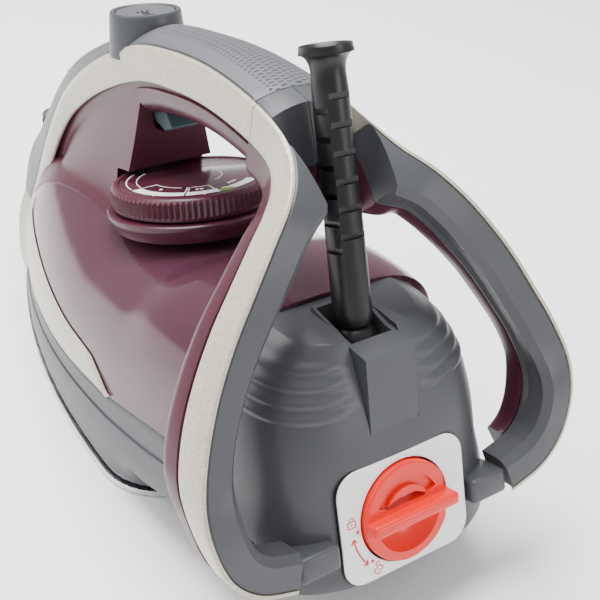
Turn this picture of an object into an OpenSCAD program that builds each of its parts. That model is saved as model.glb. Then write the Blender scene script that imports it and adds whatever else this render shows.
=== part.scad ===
// Steam iron with a C-shaped handle that splits into two heel legs, a see-through tank,
// a temperature dial, a steam selector with a spray button, and a scale collector in the heel.
// +X is the nose, +Y is the iron's left side, and the soleplate rests on Z = 0.

/* [Overall size] */
// Length over nose and heel
body_l = 332; // [280:1:400]
// Width of the soleplate
body_w = 115; // [100:1:138]
// Height of the grip's top
body_h = 167; // [150:1:200]

/* [Soleplate and casting] */
// Thickness of the soleplate
sole_t = 2.6; // [1.5:0.1:4]
// Height of the cast heater block
casting_h = 12; // [9:0.5:16]
// Radius of a steam hole
steam_hole_r = 1.3; // [0.8:0.1:1.6]
// Radius of the tubular heating element
element_r = 3.2; // [2.5:0.1:4]

/* [Shells] */
// Wall of the water tank
tank_wall = 2.2; // [1.5:0.1:3]
// Wall of the skirt and of the heel cover
shell_wall = 2.4; // [1.8:0.1:3.2]
// Thickness of the pearl strips on the handle's sides
strip_t = 1.4; // [1:0.1:2]
// Thickness of the heel legs, seen from behind
leg_t = 13; // [10:0.5:16]
// Depth of the grey part of the heel legs
leg_depth = 13; // [11:0.5:15]
// Depth of the dark liner in front of each leg
liner_depth = 9; // [5:0.5:11]
// Thickness of the soft pad on the grip
pad_t = 1.8; // [1.2:0.1:2.6]

/* [Controls] */
// Radius of the temperature dial
dial_r = 33; // [29:0.5:36]
// Height of the dial's rim
dial_h = 9; // [7:0.5:11]
// Forward lean of the dial
dial_tilt = 13.5; // [10:0.5:16]
// Radius of the steam selector at its top
selector_r = 13.8; // [12:0.1:15]
// Height of the steam selector
selector_h = 17; // [14:0.5:20]
// Length of the boost trigger
trigger_l = 30; // [24:1:34]

/* [Scale collector] */
// Radius of the collector's knob
knob_r = 17.5; // [15:0.5:19]
// Width of the label plate around the knob
plate_w = 52; // [44:1:58]
// Height of the label plate
plate_h = 41; // [39:0.5:44]
// Radius of the collector's rod
rod_r = 5; // [4:0.1:6]

/* [Cord outlet] */
// Radius of the swivel ball
ball_r = 7.8; // [7:0.1:8.2]
// Length of the cord guard from the ball's centre to its rim
guard_l = 96; // [80:1:110]
// Radius of the hole for the cord
cord_r = 3.6; // [3:0.1:4]

/* [Hidden] */
// Running clearance between round pieces that turn or slide in each other
run_c = 0.08;
// Gap between shells that sit against each other
fit_c = 0.25;
// Gap between a moving piece and a shell around it
move_c = 0.6;
// The outlines are drawn on a 332 x 115 x 167 grid, and these factors stretch them
kx = body_l / 332;
ky = body_w / 115;
kz = body_h / 167;

nose_x = 166 * kx;
heel_x = -166 * kx;
wide_x = -38 * kx;
sole_rear_x = -72 * kx;
sole_gap = 1.6;
skirt_z = sole_t + sole_gap;
casting_z = sole_t;
casting_top = casting_z + casting_h;
seal_t = 0.6;
cover_t = 1.6;
cover_top = casting_top + seal_t + cover_t;
tank_front_x = 92.5 * kx;
tank_rear_x = -100 * kx;
split_x = 10 * kx;

dial_c = [-8.6 * kx, 0, 104 * kz];
selector_c = [30 * kx, 0, 158.5 * kz];
selector_tilt = 9;
plate_c = [-151.3 * kx, 0, 45.3 * kz];
plate_tilt = 18;
plate_t = 1.4;
ball_c = [-117 * kx, 0, 92 * kz];
guard_tilt = 17.5;

grey = [0.39, 0.40, 0.42];
light_grey = [0.52, 0.53, 0.55];
burgundy = [0.42, 0.26, 0.31];
clear_red = [0.49, 0.35, 0.41, 0.6];
pearl = [0.90, 0.89, 0.83];
steel = [0.75, 0.75, 0.76];
cast = [0.62, 0.63, 0.64];
red = [1.0, 0.31, 0.21];
white = [0.96, 0.96, 0.95];
black = [0.12, 0.12, 0.13];

/* Curves and sections */

function lerp(a, b, t) = a + (b - a) * t;
function unit(v) = v / norm(v);
function spow(v, e) = sign(v) * pow(abs(v), e);
function bump(t) = t <= 0 || t >= 1 ? 0 : 0.5 - 0.5 * cos(360 * t);
function ease(t) = t <= 0 ? 0 : t >= 1 ? 1 : t * t * (3 - 2 * t);

// A smooth value between pairs [position, value], with positions going up
function profile(pairs, x, i = 0) =
    x <= pairs[0][0] ? pairs[0][1] :
    x >= pairs[len(pairs) - 1][0] ? pairs[len(pairs) - 1][1] :
    x <= pairs[i + 1][0]
        ? let (t = (x - pairs[i][0]) / (pairs[i + 1][0] - pairs[i][0]))
          cubic(pairs[max(i - 1, 0)][1], pairs[i][1], pairs[i + 1][1],
                pairs[min(i + 2, len(pairs) - 1)][1], t)
        : profile(pairs, x, i + 1);

// One Catmull-Rom span between b and c
function cubic(a, b, c, d, t) =
    b + 0.5 * t * (c - a + t * (2 * a - 5 * b + 4 * c - d + t * (3 * (b - c) + d - a)));

// A smooth path through points, with a number of steps in each span
function path(p, steps) = [
    for (i = [0:len(p) - 2]) for (s = [0:steps - (i == len(p) - 2 ? 0 : 1)])
        cubic(p[max(i - 1, 0)], p[i], p[i + 1], p[min(i + 2, len(p) - 1)], s / steps)
];

// A closed skin over rings of points, each ring with the same number of points
module loft(rings) {
    n = len(rings[0]);
    m = len(rings);
    polyhedron(
        points = [for (r = rings) each r],
        faces = concat(
            [[for (i = [0:n - 1]) i]],
            [[for (i = [n - 1:-1:0]) (m - 1) * n + i]],
            [for (j = [0:m - 2]) for (i = [0:n - 1]) each [
                [j * n + i, (j + 1) * n + (i + 1) % n, j * n + (i + 1) % n],
                [j * n + i, (j + 1) * n + i, (j + 1) * n + (i + 1) % n]
            ]]
        )
    );
}

// A many-sided prism, for openings in faceted shells
module prism(r, h) linear_extrude(h) polygon([for (i = [0:31]) r * [cos(11.25 * i), sin(11.25 * i)]]);

// Half width of the iron's plan at x, at the soleplate's edge
function plan_w(x) =
    x >= wide_x
        ? body_w / 2 * (1 - pow((x - wide_x) / (nose_x - wide_x), 2.13))
        : body_w / 2 * (1 - 0.2 * pow((wide_x - x) / (wide_x - heel_x), 1.6));

// Half width of the soleplate at x, which ends in a rounded corner behind
function sole_w(x) =
    x >= wide_x ? plan_w(x)
    : body_w / 2 * pow(1 - pow((wide_x - x) / (wide_x - sole_rear_x), 2.5), 0.4);

module sole_outline(inset) {
    offset_x = 2 * inset;
    front = [for (i = [0:24]) let (x = lerp(wide_x, nose_x - offset_x, i / 24)) [x, max(sole_w(x) - inset, 0)]];
    back = [for (i = [1:12]) let (a = 90 * (1 - i / 12), x = wide_x - (wide_x - sole_rear_x - inset) * cos(a))
        [x, (body_w / 2 - inset) * pow(max(1 - pow(cos(a), 2.5), 0), 0.4)]];
    half = concat([for (i = [11:-1:0]) back[i]], front);
    polygon(concat(half, [for (i = [len(half) - 2:-1:1]) [half[i][0], -half[i][1]]]));
}

// Top line of the grey skirt
SKIRT_TOP = [[-112, 50], [-86, 47], [-42, 37.5], [15, 27], [80, 17], [150, 11]];
function skirt_top(x) = profile(SKIRT_TOP, x / kx) * kz;

// Top line of the water tank's hull
TANK_TOP = [[-112, 101], [-88, 102], [-65, 99], [-45, 91], [-15, 87], [15, 88], [45, 87], [75, 82], [104, 73]];
function tank_top(x) = profile(TANK_TOP, x / kx) * kz;
function tank_w(x) = plan_w(x) - 3.5;
function tank_floor(x) = max(skirt_top(x) + fit_c, cover_top + 4);
// Squareness of the hull's section, which is boxy behind and rounder at the bow
function tank_n(x) = profile([[-100, 3.6], [-50, 3.4], [0, 2.7], [40, 2.5]], x / kx);

// One station of the tank's hull: a half superellipse on a flat floor
function tank_ring(x, inset) =
    let (w = tank_w(x) - inset, z0 = tank_floor(x) + inset, z1 = tank_top(x) - inset, e = 2 / tank_n(x))
    [for (i = [0:20]) let (a = 9 * i) [x, w * spow(cos(a), e), z0 + (z1 - z0) * spow(sin(a), e)]];

// Height of the tank's hull over y at station x
function tank_z(x, y) =
    let (w = tank_w(x), z0 = tank_floor(x), n = tank_n(x), f = min(abs(y) / w, 1))
    z0 + (tank_top(x) - z0) * pow(1 - pow(f, n), 1 / n);

/* The handle's arch: its left upper edge runs from the nose over the grip and down the leg */

ARCH = [
    [104, 29, 13], [107, 25, 35], [101, 22, 55], [94, 19.5, 76], [86, 17.5, 94], [73, 16, 112], [48, 15, 132],
    [14, 14.5, 150], [-15, 14.5, 158], [-42, 14.5, 161.5], [-72, 15.5, 161], [-92, 17, 157.5], [-104, 21, 153],
    [-113, 28, 148], [-119, 37, 139.5], [-124, 46, 129], [-128.5, 55, 117], [-133.5, 63, 104],
    [-140, 70, 90.5], [-146.5, 74.5, 77], [-151.5, 74, 64], [-155, 69, 50.5], [-157, 59.5, 41.5], [-157.5, 46, 36.5]
];
ARCH_STEPS = 3;
GRIP_END = 11;
grip_from = 7 * ARCH_STEPS;
grip_to = 10 * ARCH_STEPS;
belly_d = 26;
cover_wall = 2.2;
ARCH_MID = [-20 * kx, 95 * kz];
edge = path([for (p = ARCH) [p[0] * kx, p[1] * ky, p[2] * kz]], ARCH_STEPS);
EDGE_N = len(edge) - 1;

// Sections stay upright over the bow and the grip, and turn with the legs behind them
function spread(i) = ease((i - GRIP_END * ARCH_STEPS + ARCH_STEPS) / 4);
function edge_dir(i) = let (t = unit(edge[min(i + 1, EDGE_N)] - edge[max(i - 1, 0)])) unit([t[0], t[1] * spread(i), t[2]]);
// Direction from the edge towards the inside of the arch; at the feet it leans down with the label plate
function edge_in(i) =
    let (p = edge[i], t = edge_dir(i), x = ARCH_MID[0] - p[0], low = x > 0 ? ease((95 - p[2] / kz) / 50) : 0,
         c = [x, 0, lerp(ARCH_MID[1] - p[2], -0.3 * x, low)])
    unit(c - (c * t) * t);
// Direction from the edge towards the iron's middle plane
function edge_across(i) = let (v = unit(cross(edge_dir(i), edge_in(i)))) (i < 60 ? v[1] > 0 : v[2] < 0) ? -v : v;

// A ring at step i: section points [across, depth] are laid out from the edge
function edge_ring(i, section) = [for (q = section) edge[i] + q[0] * edge_across(i) + q[1] * edge_in(i)];

// Width of the pearl strip along the arch
function strip_w(i) =
    let (s = i / ARCH_STEPS)
    profile([[0, 5], [2, 5.5], [4, 7.5], [6, 11], [9, 13.5], [16, leg_depth - 0.5], [20, leg_depth - 1], [22, 6], [23, 1.5]], s);

// A rectangle with rounded corners, from its low corner to its high corner
function soft_box(a0, b0, a1, b1, r) = [
    for (c = [[a1 - r, b1 - r, 0], [a0 + r, b1 - r, 90], [a0 + r, b0 + r, 180], [a1 - r, b0 + r, 270]])
        for (k = [0:3]) [c[0] + r * cos(c[2] + 30 * k), c[1] + r * sin(c[2] + 30 * k)]
];

module mirrored(side) {
    if (side > 0) children();
    else mirror([0, 1, 0]) children();
}

/* Heater and sole */

module soleplate() color(steel) difference() {
    linear_extrude(sole_t) sole_outline(0);
    for (p = STEAM_HOLES) translate([p[0], p[1], -1]) cylinder(r = steam_hole_r, h = sole_t + 2, $fn = 24);
}

// Two rows of steam holes that follow the soleplate's edge, and a cluster in its nose
STEAM_HOLES = concat(
    [for (s = [-1, 1]) for (i = [0:8]) for (k = [0:1])
        let (x = lerp(-45, 118, i / 8) * kx) [x + 5 * k, s * (plan_w(x) - 12 - 7 * k)]],
    [for (i = [0:3]) [(96 + 9 * i) * kx, 0]]
);

module heater_casting() color(cast) difference() {
    translate([0, 0, casting_z]) linear_extrude(casting_h) sole_outline(7);
    translate([0, 0, casting_z + casting_h / 2]) element_path(element_r + fit_c / 2);
    translate([0, 0, casting_top - 4]) linear_extrude(5) steam_chamber();
    for (p = SOLE_SCREWS) translate([p[0], p[1], casting_top - 7]) cylinder(r = screw_r, h = 8, $fn = 24);
}

module steam_chamber() {
    translate([62 * kx, 0]) circle(r = 12);
    translate([-40 * kx, -9]) square([102 * kx, 18]);
}

element_bend_r = 25 * ky;
element_tip_x = 48 * kx;
element_end_x = -66 * kx;

// A U of round section, open towards the heel
module element_path(r) {
    translate([element_tip_x, 0, 0]) rotate([0, 0, -90])
        rotate_extrude(angle = 180, $fn = 64) translate([element_bend_r, 0]) circle(r = r, $fn = 32);
    for (s = [-1, 1]) translate([element_end_x, s * element_bend_r, 0]) rotate([0, 90, 0])
        cylinder(r = r, h = element_tip_x - element_end_x, $fn = 32);
}

module heating_element() color(steel) translate([0, 0, casting_z + casting_h / 2]) {
    element_path(element_r);
    for (s = [-1, 1]) translate([element_end_x - 7, s * element_bend_r, 0]) rotate([0, 90, 0])
        cylinder(r = 1.2, h = 8, $fn = 24);
}

screw_r = 2;
SOLE_SCREWS = [[96 * kx, 0], [-52 * kx, 40 * ky], [-52 * kx, -40 * ky]];

module chamber_seal() color(black) translate([0, 0, casting_top]) linear_extrude(seal_t) difference() {
    sole_outline(8);
    sole_outline(14);
    for (p = SOLE_SCREWS) translate(p) circle(r = screw_r + fit_c, $fn = 24);
}

module chamber_cover() color(cast) translate([0, 0, casting_top + seal_t]) linear_extrude(cover_t) difference() {
    sole_outline(8);
    for (p = SOLE_SCREWS) translate(p) circle(r = screw_r + fit_c, $fn = 24);
    translate([tube_x, 0]) circle(r = tube_r + fit_c, $fn = 32);
}

module sole_screws() color(steel) for (p = SOLE_SCREWS) translate([p[0], p[1], casting_top - 6]) {
    cylinder(r = screw_r - run_c, h = 6 + seal_t + cover_t, $fn = 24);
    translate([0, 0, 6 + seal_t + cover_t]) cylinder(r = 3.6, h = 2, $fn = 24);
}

/* Temperature control: the shaft stands under the dial and ends on the thermostat */

shaft_r = 3;
thermostat_h = 7;
dial_axis = [sin(dial_tilt), 0, cos(dial_tilt)];
thermostat_z = cover_top + 0.1;
shaft_l = (dial_c[2] - thermostat_z - thermostat_h) / cos(dial_tilt) - dial_h;
thermostat_c = dial_c - dial_axis * (shaft_l + dial_h);

module on_dial() translate(dial_c) rotate([0, dial_tilt, 0]) children();

module thermostat() color(black) {
    translate([thermostat_c[0] - 12, -9, thermostat_z]) cube([24, 18, thermostat_h - 3]);
}

module thermal_fuse() color(steel) translate([-44 * kx, -20 * ky, cover_top + 3.1]) rotate([90, 0, 90]) {
    cylinder(r = 3, h = 22, $fn = 24);
}

module dial_shaft() color(black) on_dial() translate([0, 0, -dial_h - shaft_l + 1.5])
    cylinder(r = shaft_r, h = shaft_l - 1.5 - fit_c, $fn = 32);

collar_h = 8;
module dial_collar() color(burgundy) difference() {
    on_dial() translate([0, 0, -dial_h - collar_h - move_c]) cylinder(r1 = dial_r - 1, r2 = dial_r + 2.5, h = collar_h, $fn = 96);
    on_dial() translate([0, 0, -dial_h - collar_h - 2]) cylinder(r = shaft_r + run_c, h = collar_h + 4, $fn = 32);
    loft([for (x = [-70:5:55]) tank_ring(x * kx, -2 * fit_c)]);
}

knurls = 84;
module thermostat_dial() color(burgundy) on_dial() translate([0, 0, -dial_h]) {
    difference() {
        union() {
            cylinder(r = dial_r - 0.6, h = dial_h - 1.2, $fn = 96);
            translate([0, 0, dial_h - 1.2]) cylinder(r1 = dial_r - 0.6, r2 = dial_r - 2, h = 1.2, $fn = 96);
            for (i = [0:knurls - 1]) rotate(360 / knurls * i) translate([dial_r - 1.4, -0.6, 1])
                cube([1.4, 1.2, dial_h - 2.6]);
        }
        translate([0, 0, -1]) cylinder(r = dial_r - 5, h = 4, $fn = 96);
    }
}

module dial_mark() color([0.48, 0.6, 0.16]) on_dial() rotate(180) translate([dial_r - 7.7, 0, 0.02])
    cylinder(r = 2.6, h = 0.4, $fn = 32);

/* Steam selector, spray button and their rods inside the pillar */

valve_r = 1.9;
selector_axis = [sin(selector_tilt), 0, cos(selector_tilt)];
button_h = 3.2;
button_r = selector_r - 2.2;
button_travel = 2.2;
valve_l = 48;
valve_body_r = 5;
valve_body_h = 7;
tube_x = 36 * kx;
tube_r = 2.6;
tube_z = selector_c[2] - (valve_l + valve_body_h / 2) * cos(selector_tilt);

module on_selector(down = 0) translate(selector_c) rotate([0, selector_tilt, 0]) translate([0, 0, -down]) children();

module steam_selector() color(grey) on_selector(selector_h) difference() {
    cylinder(r1 = selector_r + 1.6, r2 = selector_r, h = selector_h, $fn = 96);
    translate([0, 0, selector_h - button_h - button_travel - 0.6])
        cylinder(r = button_r + run_c, h = button_h + button_travel + 2, $fn = 96);
    translate([0, 0, -1]) cylinder(r = valve_r + run_c, h = 7, $fn = 32);
    translate([0, 0, 5]) cylinder(r = 7, h = selector_h, $fn = 48);
}

module spray_button() color(light_grey) on_selector(button_h) difference() {
    cylinder(r = button_r, h = button_h - 0.3, $fn = 96);
    translate([0, 0, button_h + 60 - 1.5]) sphere(r = 60, $fn = 128);
}

module button_spring() color(steel) on_selector(button_h + 8.8) difference() {
    cylinder(r = 5.6, h = 8.4, $fn = 32);
    translate([0, 0, -1]) cylinder(r = 4.9, h = 11, $fn = 32);
}

module valve_rod() color(steel) on_selector(valve_l - 0.4) cylinder(r = valve_r, h = valve_l - selector_h + 4, $fn = 32);

module steam_valve() color(white) on_selector(valve_l + valve_body_h) cylinder(r = valve_body_r, h = valve_body_h, $fn = 48);

// The tube leaves the valve forwards and runs down through the tank into the steam chamber
module steam_path(r, up, down) {
    translate([tube_x, 0, down]) cylinder(r = r, h = tube_z - down, $fn = 32);
    translate([tube_x, 0, tube_z]) sphere(r = r, $fn = 32);
    translate([tube_x, 0, tube_z]) rotate([0, -90, 0]) cylinder(r = r, h = up, $fn = 32);
}

module steam_tube() color(light_grey) difference() {
    steam_path(tube_r, 9 * kx, casting_top - 2);
    on_selector(valve_l + valve_body_h + 1) cylinder(r = valve_body_r + 0.05, h = valve_body_h + 2, $fn = 48);
    translate([tube_x, 0, casting_top - 3]) cylinder(r = 1.6, h = 40, $fn = 24);
}

pump_c = [38 * kx, 0, 118 * kz];
module spray_pump() color(white) translate(pump_c) rotate([0, 90, 0]) {
    difference() {
        cylinder(r = 5, h = 22, $fn = 48);
        translate([0, 0, 3]) cylinder(r = 3.6, h = 20, $fn = 48);
    }
}

nozzle_c = [133 * kx, 0, 72 * kz];
hose_from = pump_c + [24.6, 0, -1];
hose_to = nozzle_c - [10, 0, 8];
hose_l = norm(hose_to - hose_from);
hose_drop = acos((hose_to[2] - hose_from[2]) / hose_l);
module hose_path(r) translate(hose_from) {
    rotate([0, hose_drop, 0]) cylinder(r = r, h = hose_l, $fn = 32);
    sphere(r = r, $fn = 32);
}
module pump_hose() color(black) hose_path(2);

module spray_nozzle() color(light_grey) translate(nozzle_c) rotate([0, 60, 0]) difference() {
    union() {
        translate([0, 0, -8]) cylinder(r = 3, h = 8, $fn = 32);
        cylinder(r1 = 5, r2 = 3.4, h = 4.5, $fn = 48);
    }
    translate([0, 0, -9]) cylinder(r = 0.6, h = 16, $fn = 24);
}

/* Boost trigger under the front of the grip */

trigger_c = [27 * kx, 0, 128 * kz];
trigger_w = 13;
trigger_travel = 4;
// The trigger's front is forked, so that it clears the selector's rod
module boost_trigger() color([0.33, 0.38, 0.4]) translate(trigger_c) difference() {
    rotate([-90, 0, 0]) translate([0, 0, -trigger_w / 2]) linear_extrude(trigger_w)
        polygon([[0, 2], [-4, -3], [-trigger_l * 0.72, -3], [-trigger_l, 5.5], [-trigger_l * 0.82, 8.5], [-trigger_l * 0.4, 6]]);
    translate([-6.5, -valve_r - 1, -8]) cube([9, 2 * valve_r + 2, 16]);
}

module trigger_spring() color(steel) translate(trigger_c + [-trigger_l * 0.42, 0, 3.3]) difference() {
    cylinder(r = 3, h = 5, $fn = 32);
    translate([0, 0, -1]) cylinder(r = 2.4, h = 7, $fn = 32);
}

/* Body shells */

module skirt() color(grey) difference() {
    loft([for (i = [0:22]) skirt_ring(lerp(tank_rear_x, nose_x - 1.5, 1 - pow(1 - i / 22, 1.5)), 0)]);
    loft([for (i = [0:22]) skirt_ring(lerp(tank_rear_x - 1, nose_x - 12, 1 - pow(1 - i / 22, 1.5)), shell_wall)]);
}

// One station of the skirt, an upright band that leans in a little and tucks in over the soleplate's rear corner
function skirt_ring(x, inset) =
    let (w = max(plan_w(x) - 0.6 - inset, 0.6), w0 = min(w, sole_w(max(x, sole_rear_x + 8 * kx)) - 0.8 - inset),
         wt = max(w - 3, 0.5), z0 = (inset > 0 ? skirt_z - 1 : skirt_z) + rear_lift(x),
         z1 = skirt_top(x) + (inset > 0 ? 1 : 0), za = lerp(z0, z1, 0.35), wa = lerp(w0, w, 0.8))
    [[x, w0, z0], [x, w0 + 0.2 * (wa - w0) + 0.2, z0 + 1.5], [x, wa, za], [x, lerp(w, wt, 0.4) + 0.3, lerp(z0, z1, 0.65)], [x, wt, z1],
     [x, -wt, z1], [x, -lerp(w, wt, 0.4) - 0.3, lerp(z0, z1, 0.65)], [x, -wa, za], [x, -w0 - 0.2 * (wa - w0) - 0.2, z0 + 1.5], [x, -w0, z0]];

// The underside rises behind the soleplate
function rear_lift(x) = 10 * ease((sole_rear_x + 6 * kx - x) / (34 * kx)) * kz;

module water_tank() color(clear_red) difference() {
    union() {
        difference() {
            tank_hull(0);
            tank_hull(tank_wall);
        }
        intersection() {
            tank_hull(0.4);
            union() {
                on_dial() translate([0, 0, -shaft_l - dial_h - 30]) cylinder(r = shaft_r + 3, h = shaft_l + 30, $fn = 48);
                translate([tube_x, 0, 0]) cylinder(r = tube_r + 2.4, h = body_h, $fn = 48);
            }
        }
    }
    on_dial() translate([0, 0, -shaft_l - dial_h - 30]) cylinder(r = shaft_r + 1, h = shaft_l + 60, $fn = 48);
    translate([tube_x, 0, 0]) cylinder(r = tube_r + 0.5, h = body_h, $fn = 48);
    on_dial() translate([0, 0, -dial_h - move_c]) cylinder(r = dial_r + move_c, h = dial_h, $fn = 96);
}

module tank_hull(inset) loft([for (i = [0:26])
    tank_ring(lerp(tank_rear_x + inset, tank_front_x - 2 * inset, 1 - pow(1 - i / 26, 1.3)), inset)]);

// Upright ribs that slow the water, standing on the tank's floor
module tank_baffles() color(clear_red) for (x = [-60, 66]) for (s = [-1, 1])
    translate([x * kx, s * 16 * ky - 9 * ky, tank_floor(x * kx) + tank_wall + 1]) cube([1.6, 18 * ky, 20 * kz]);

// The pillar's sides sweep from the hull up to the handle's edge
pillar_front_x = 86 * kx;
function arch_step(x) =
    let (k = [for (i = [0:EDGE_N]) if (edge[i][0] >= x) i], j = k[len(k) - 1])
    j + (edge[j][0] - x) / (edge[j][0] - edge[j + 1][0]);
// Underside of the cover's edge over x
inner_edge = [for (i = [0:grip_to + 3]) edge[i] + in_at(i) * (cover_wall + 2 * fit_c)];
function inner_z(x) =
    let (k = [for (i = [0:grip_to + 2]) if (inner_edge[i][0] >= x) i], j = k[len(k) - 1],
         t = (inner_edge[j][0] - x) / (inner_edge[j][0] - inner_edge[j + 1][0]))
    lerp(inner_edge[j][2], inner_edge[j + 1][2], t);
tank_gap = 1;
function pillar_foot(x) = min(tank_w(x) * 0.86, 27 * ky);
// Height and half width of the pillar's side, from its foot (0) to its top (1)
function pillar_side(x, t) =
    let (s = arch_step(x), e = edge_at(s), yt = e[1] - strip_t - fit_c - 0.4, zt = inner_z(x),
         yf = max(pillar_foot(x), yt + 0.5), zf = tank_z(x, yf) + tank_gap,
         zs = max(zt - 1.15 * strip_w(s) / abs(in_at(s)[2]), lerp(zf, zt, 0.2)), z = lerp(zf, zt, t),
         k = min((z - zf) / (zs - zf), 1), y = lerp(yf, yt, pow(k, 0.55)))
    [y, max(z, tank_z(x, y) + tank_gap + min(15 * t, 1.5))];
function pillar_ring(x) =
    let (a = pillar_side(x, 0), b = pillar_side(x, 0.25), c = pillar_side(x, 0.6), d = pillar_side(x, 1), z0 = tank_z(x, a[0]) - 6)
    [[x, a[0], z0], [x, a[0], a[1]], [x, b[0], b[1]], [x, c[0], c[1]], [x, d[0], d[1]],
     [x, -d[0], d[1]], [x, -c[0], c[1]], [x, -b[0], b[1]], [x, -a[0], a[1]], [x, -a[0], z0]];

module front_pillar() color(burgundy) difference() {
    loft([for (i = [0:12]) pillar_ring(lerp(split_x, pillar_front_x, i / 12))]);
    tank_hull(-tank_gap);
    on_dial() translate([0, 0, -dial_h - collar_h - move_c - 1]) prism(dial_r + 3.2, collar_h + 1 + fit_c);
    on_dial() translate([0, 0, -dial_h - move_c]) prism(dial_r + 1.2, dial_h + 2 * move_c + 1);
    on_selector(valve_l) prism(valve_r + 1, valve_l);
    on_selector(valve_l + valve_body_h + 0.2) prism(valve_body_r + fit_c, valve_body_h + 0.4);
    translate([tube_x, 0, 0]) prism(tube_r + 0.4, tube_z + tube_r + 1);
    translate([tube_x + tube_r + 0.2, 0, tube_z]) rotate([0, -90, 0]) prism(tube_r + 0.7, 14 * kx);
    translate(pump_c - [0.5, 0, 0]) rotate([0, 90, 0]) prism(5 + fit_c, 24);
    translate(hose_from) rotate([0, hose_drop, 0]) translate([0, 0, -5]) prism(3, hose_l + 5);
    trigger_room();
    selector_room();
}

module selector_room() on_selector(selector_h + 0.8) prism(selector_r + 1.7 + move_c, selector_h + 20);

module trigger_room() translate(trigger_c + [-trigger_l - 5, -trigger_w / 2 - move_c, -14])
    cube([trigger_l + 8, trigger_w + 2 * move_c, 14 + 3 + trigger_travel + 1.5]);

module handle_belly() color(burgundy) difference() {
    loft([for (i = [grip_from + 1:grip_to]) belly_ring(i)]);
    trigger_room();
}

// The grip's lower half, from under the pad to a rounded underside
function belly_ring(i) =
    let (e = edge[i], y = e[1] - strip_t - fit_c, n = in_at(i), d = belly_d * kz, top = (cover_wall + 2 * fit_c) / d)
    concat(
        [for (q = [top, 0.3, 0.55]) [e[0], y, e[2]] + n * d * q],
        [for (k = [0:6]) let (a = 15 * k) [0, (y + strip_t) * pow(cos(a), 0.8), 0] + [e[0], 0, e[2]] + n * d * (0.57 + 0.43 * pow(sin(a), 0.8))],
        [for (k = [5:-1:0]) let (a = 15 * k) [0, -(y + strip_t) * pow(cos(a), 0.8), 0] + [e[0], 0, e[2]] + n * d * (0.57 + 0.43 * pow(sin(a), 0.8))],
        [for (q = [0.55, 0.3, top]) [e[0], -y, e[2]] + n * d * q]
    );

// How far the cover's middle line stands out from the line between the two edges
CREST = [[0, 54], [1, 47], [2, 38], [3, 29], [4, 22], [5, 15], [6, 9], [7, 6.5], [8, 4.6], [9, 3.6], [10, 3.2], [11, 3]];
function crest_h(i) = profile(CREST, i / ARCH_STEPS) * kz;

// The grey cover over the arch, from the bow to the wishbone
module handle_shell() color(light_grey) difference() {
    loft([for (i = [grip_to:-1:0]) crest_ring(i, cover_wall)]);
    below_skirt();
    selector_room();
    loft([for (i = concat(door_to + 0.3, [for (k = [door_to:-1:door_from]) k], door_from - 0.3)) door_ring(i, 0.5, 8, -9)]);
    translate(nozzle_c) rotate([0, 60, 0]) translate([0, 0, -9]) prism(5.2 + fit_c, 20);
}

function edge_at(i) = let (k = min(floor(i), EDGE_N - 1)) lerp(edge[k], edge[k + 1], i - k);
// The inward direction at step i, kept in the upright plane
function in_at(i) = let (k = min(floor(i), EDGE_N - 1), v = lerp(edge_in(k), edge_in(k + 1), i - k)) unit([v[0], 0, v[2]]);

// A point on the cover over the arch at step i; f runs from -1 to 1 across, and lift stands off it
function crest_point(i, f, lift) = let (e = edge_at(i))
    [e[0], e[1] * f, e[2]] - in_at(i) * (crest_h(i) * (1 - f * f) + lift);
// The cover ends inside the pearl strips
function cover_f(i) = 1 - (strip_t + fit_c) / edge_at(i)[1];
function crest_ring(i, wall) = concat(
    [for (k = [0:12]) crest_point(i, cover_f(i) * (1 - k / 6), 0)],
    [for (k = [12:-1:0]) crest_point(i, (cover_f(i) - 0.4 / edge_at(i)[1]) * (1 - k / 6), -wall)]
);
// Everything below the skirt's top edge, from the tank's bow forwards
module below_skirt() rotate([90, 0, 0]) translate([0, 0, -body_w]) linear_extrude(2 * body_w)
    polygon(concat([[60 * kx, -50], [200 * kx, -50]], [for (i = [0:14]) let (x = lerp(200, 60, i / 14) * kx) [x, skirt_top(x) + fit_c]]));

pad_from = 8 * ARCH_STEPS;
module grip_pad() color(light_grey) loft([for (i = [grip_to:-1:pad_from]) pad_ring(i)]);

function pad_ring(i) =
    let (t = pad_t * (i == pad_from || i == grip_to ? 0.3 : 1), w = 1 - 1 / edge[i][1])
    concat(
        [for (k = [0:10]) let (f = 1 - k / 5) crest_point(i, f * w, fit_c + t * (1 - 0.7 * pow(abs(f), 6)))],
        [for (k = [10:-1:0]) let (f = 1 - k / 5) crest_point(i, f * w, fit_c * 0.8)]
    );

/* Heel legs */

leg_from = grip_to;
// 0 where the legs leave the grip, 1 where they are apart
function apart(i) = ease((i - leg_from) / (3.4 * ARCH_STEPS));
function reach(i) = lerp(edge[i][1] + 2, leg_t, apart(i));

// Behind the grip the two legs reach the middle plane and close the wishbone
function leg_section(i) = [for (q = soft_box(strip_t + 2 * fit_c, 0, reach(i), leg_depth, 2.2))
    [q[0], q[1] - (1 - apart(i)) * (q[0] > reach(i) / 2 && q[1] < leg_depth / 2 ? crest_h(i) : 0)]];
function liner_section(i) =
    soft_box(0.6, leg_depth + 2 * fit_c, reach(i), lerp(belly_d * kz, leg_depth + liner_depth, apart(i)), 2);

module leg(side) mirrored(side) difference() {
    loft([for (i = [EDGE_N:-1:leg_from]) edge_ring(i, leg_section(i))]);
    middle_cut();
    guard_room();
}

module middle_cut() translate([-body_l, -2 * body_w, 0]) cube([2 * body_l, 2 * body_w + fit_c / 2, 2 * body_h]);

module left_leg() color(grey) leg(1);
module right_leg() color(grey) leg(-1);

module liner(side) mirrored(side) difference() {
    loft([for (i = [EDGE_N - 3:-1:leg_from]) edge_ring(i, liner_section(i))]);
    middle_cut();
    guard_room();
}
module left_liner() color(burgundy) liner(1);
module right_liner() color(burgundy) liner(-1);

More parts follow.
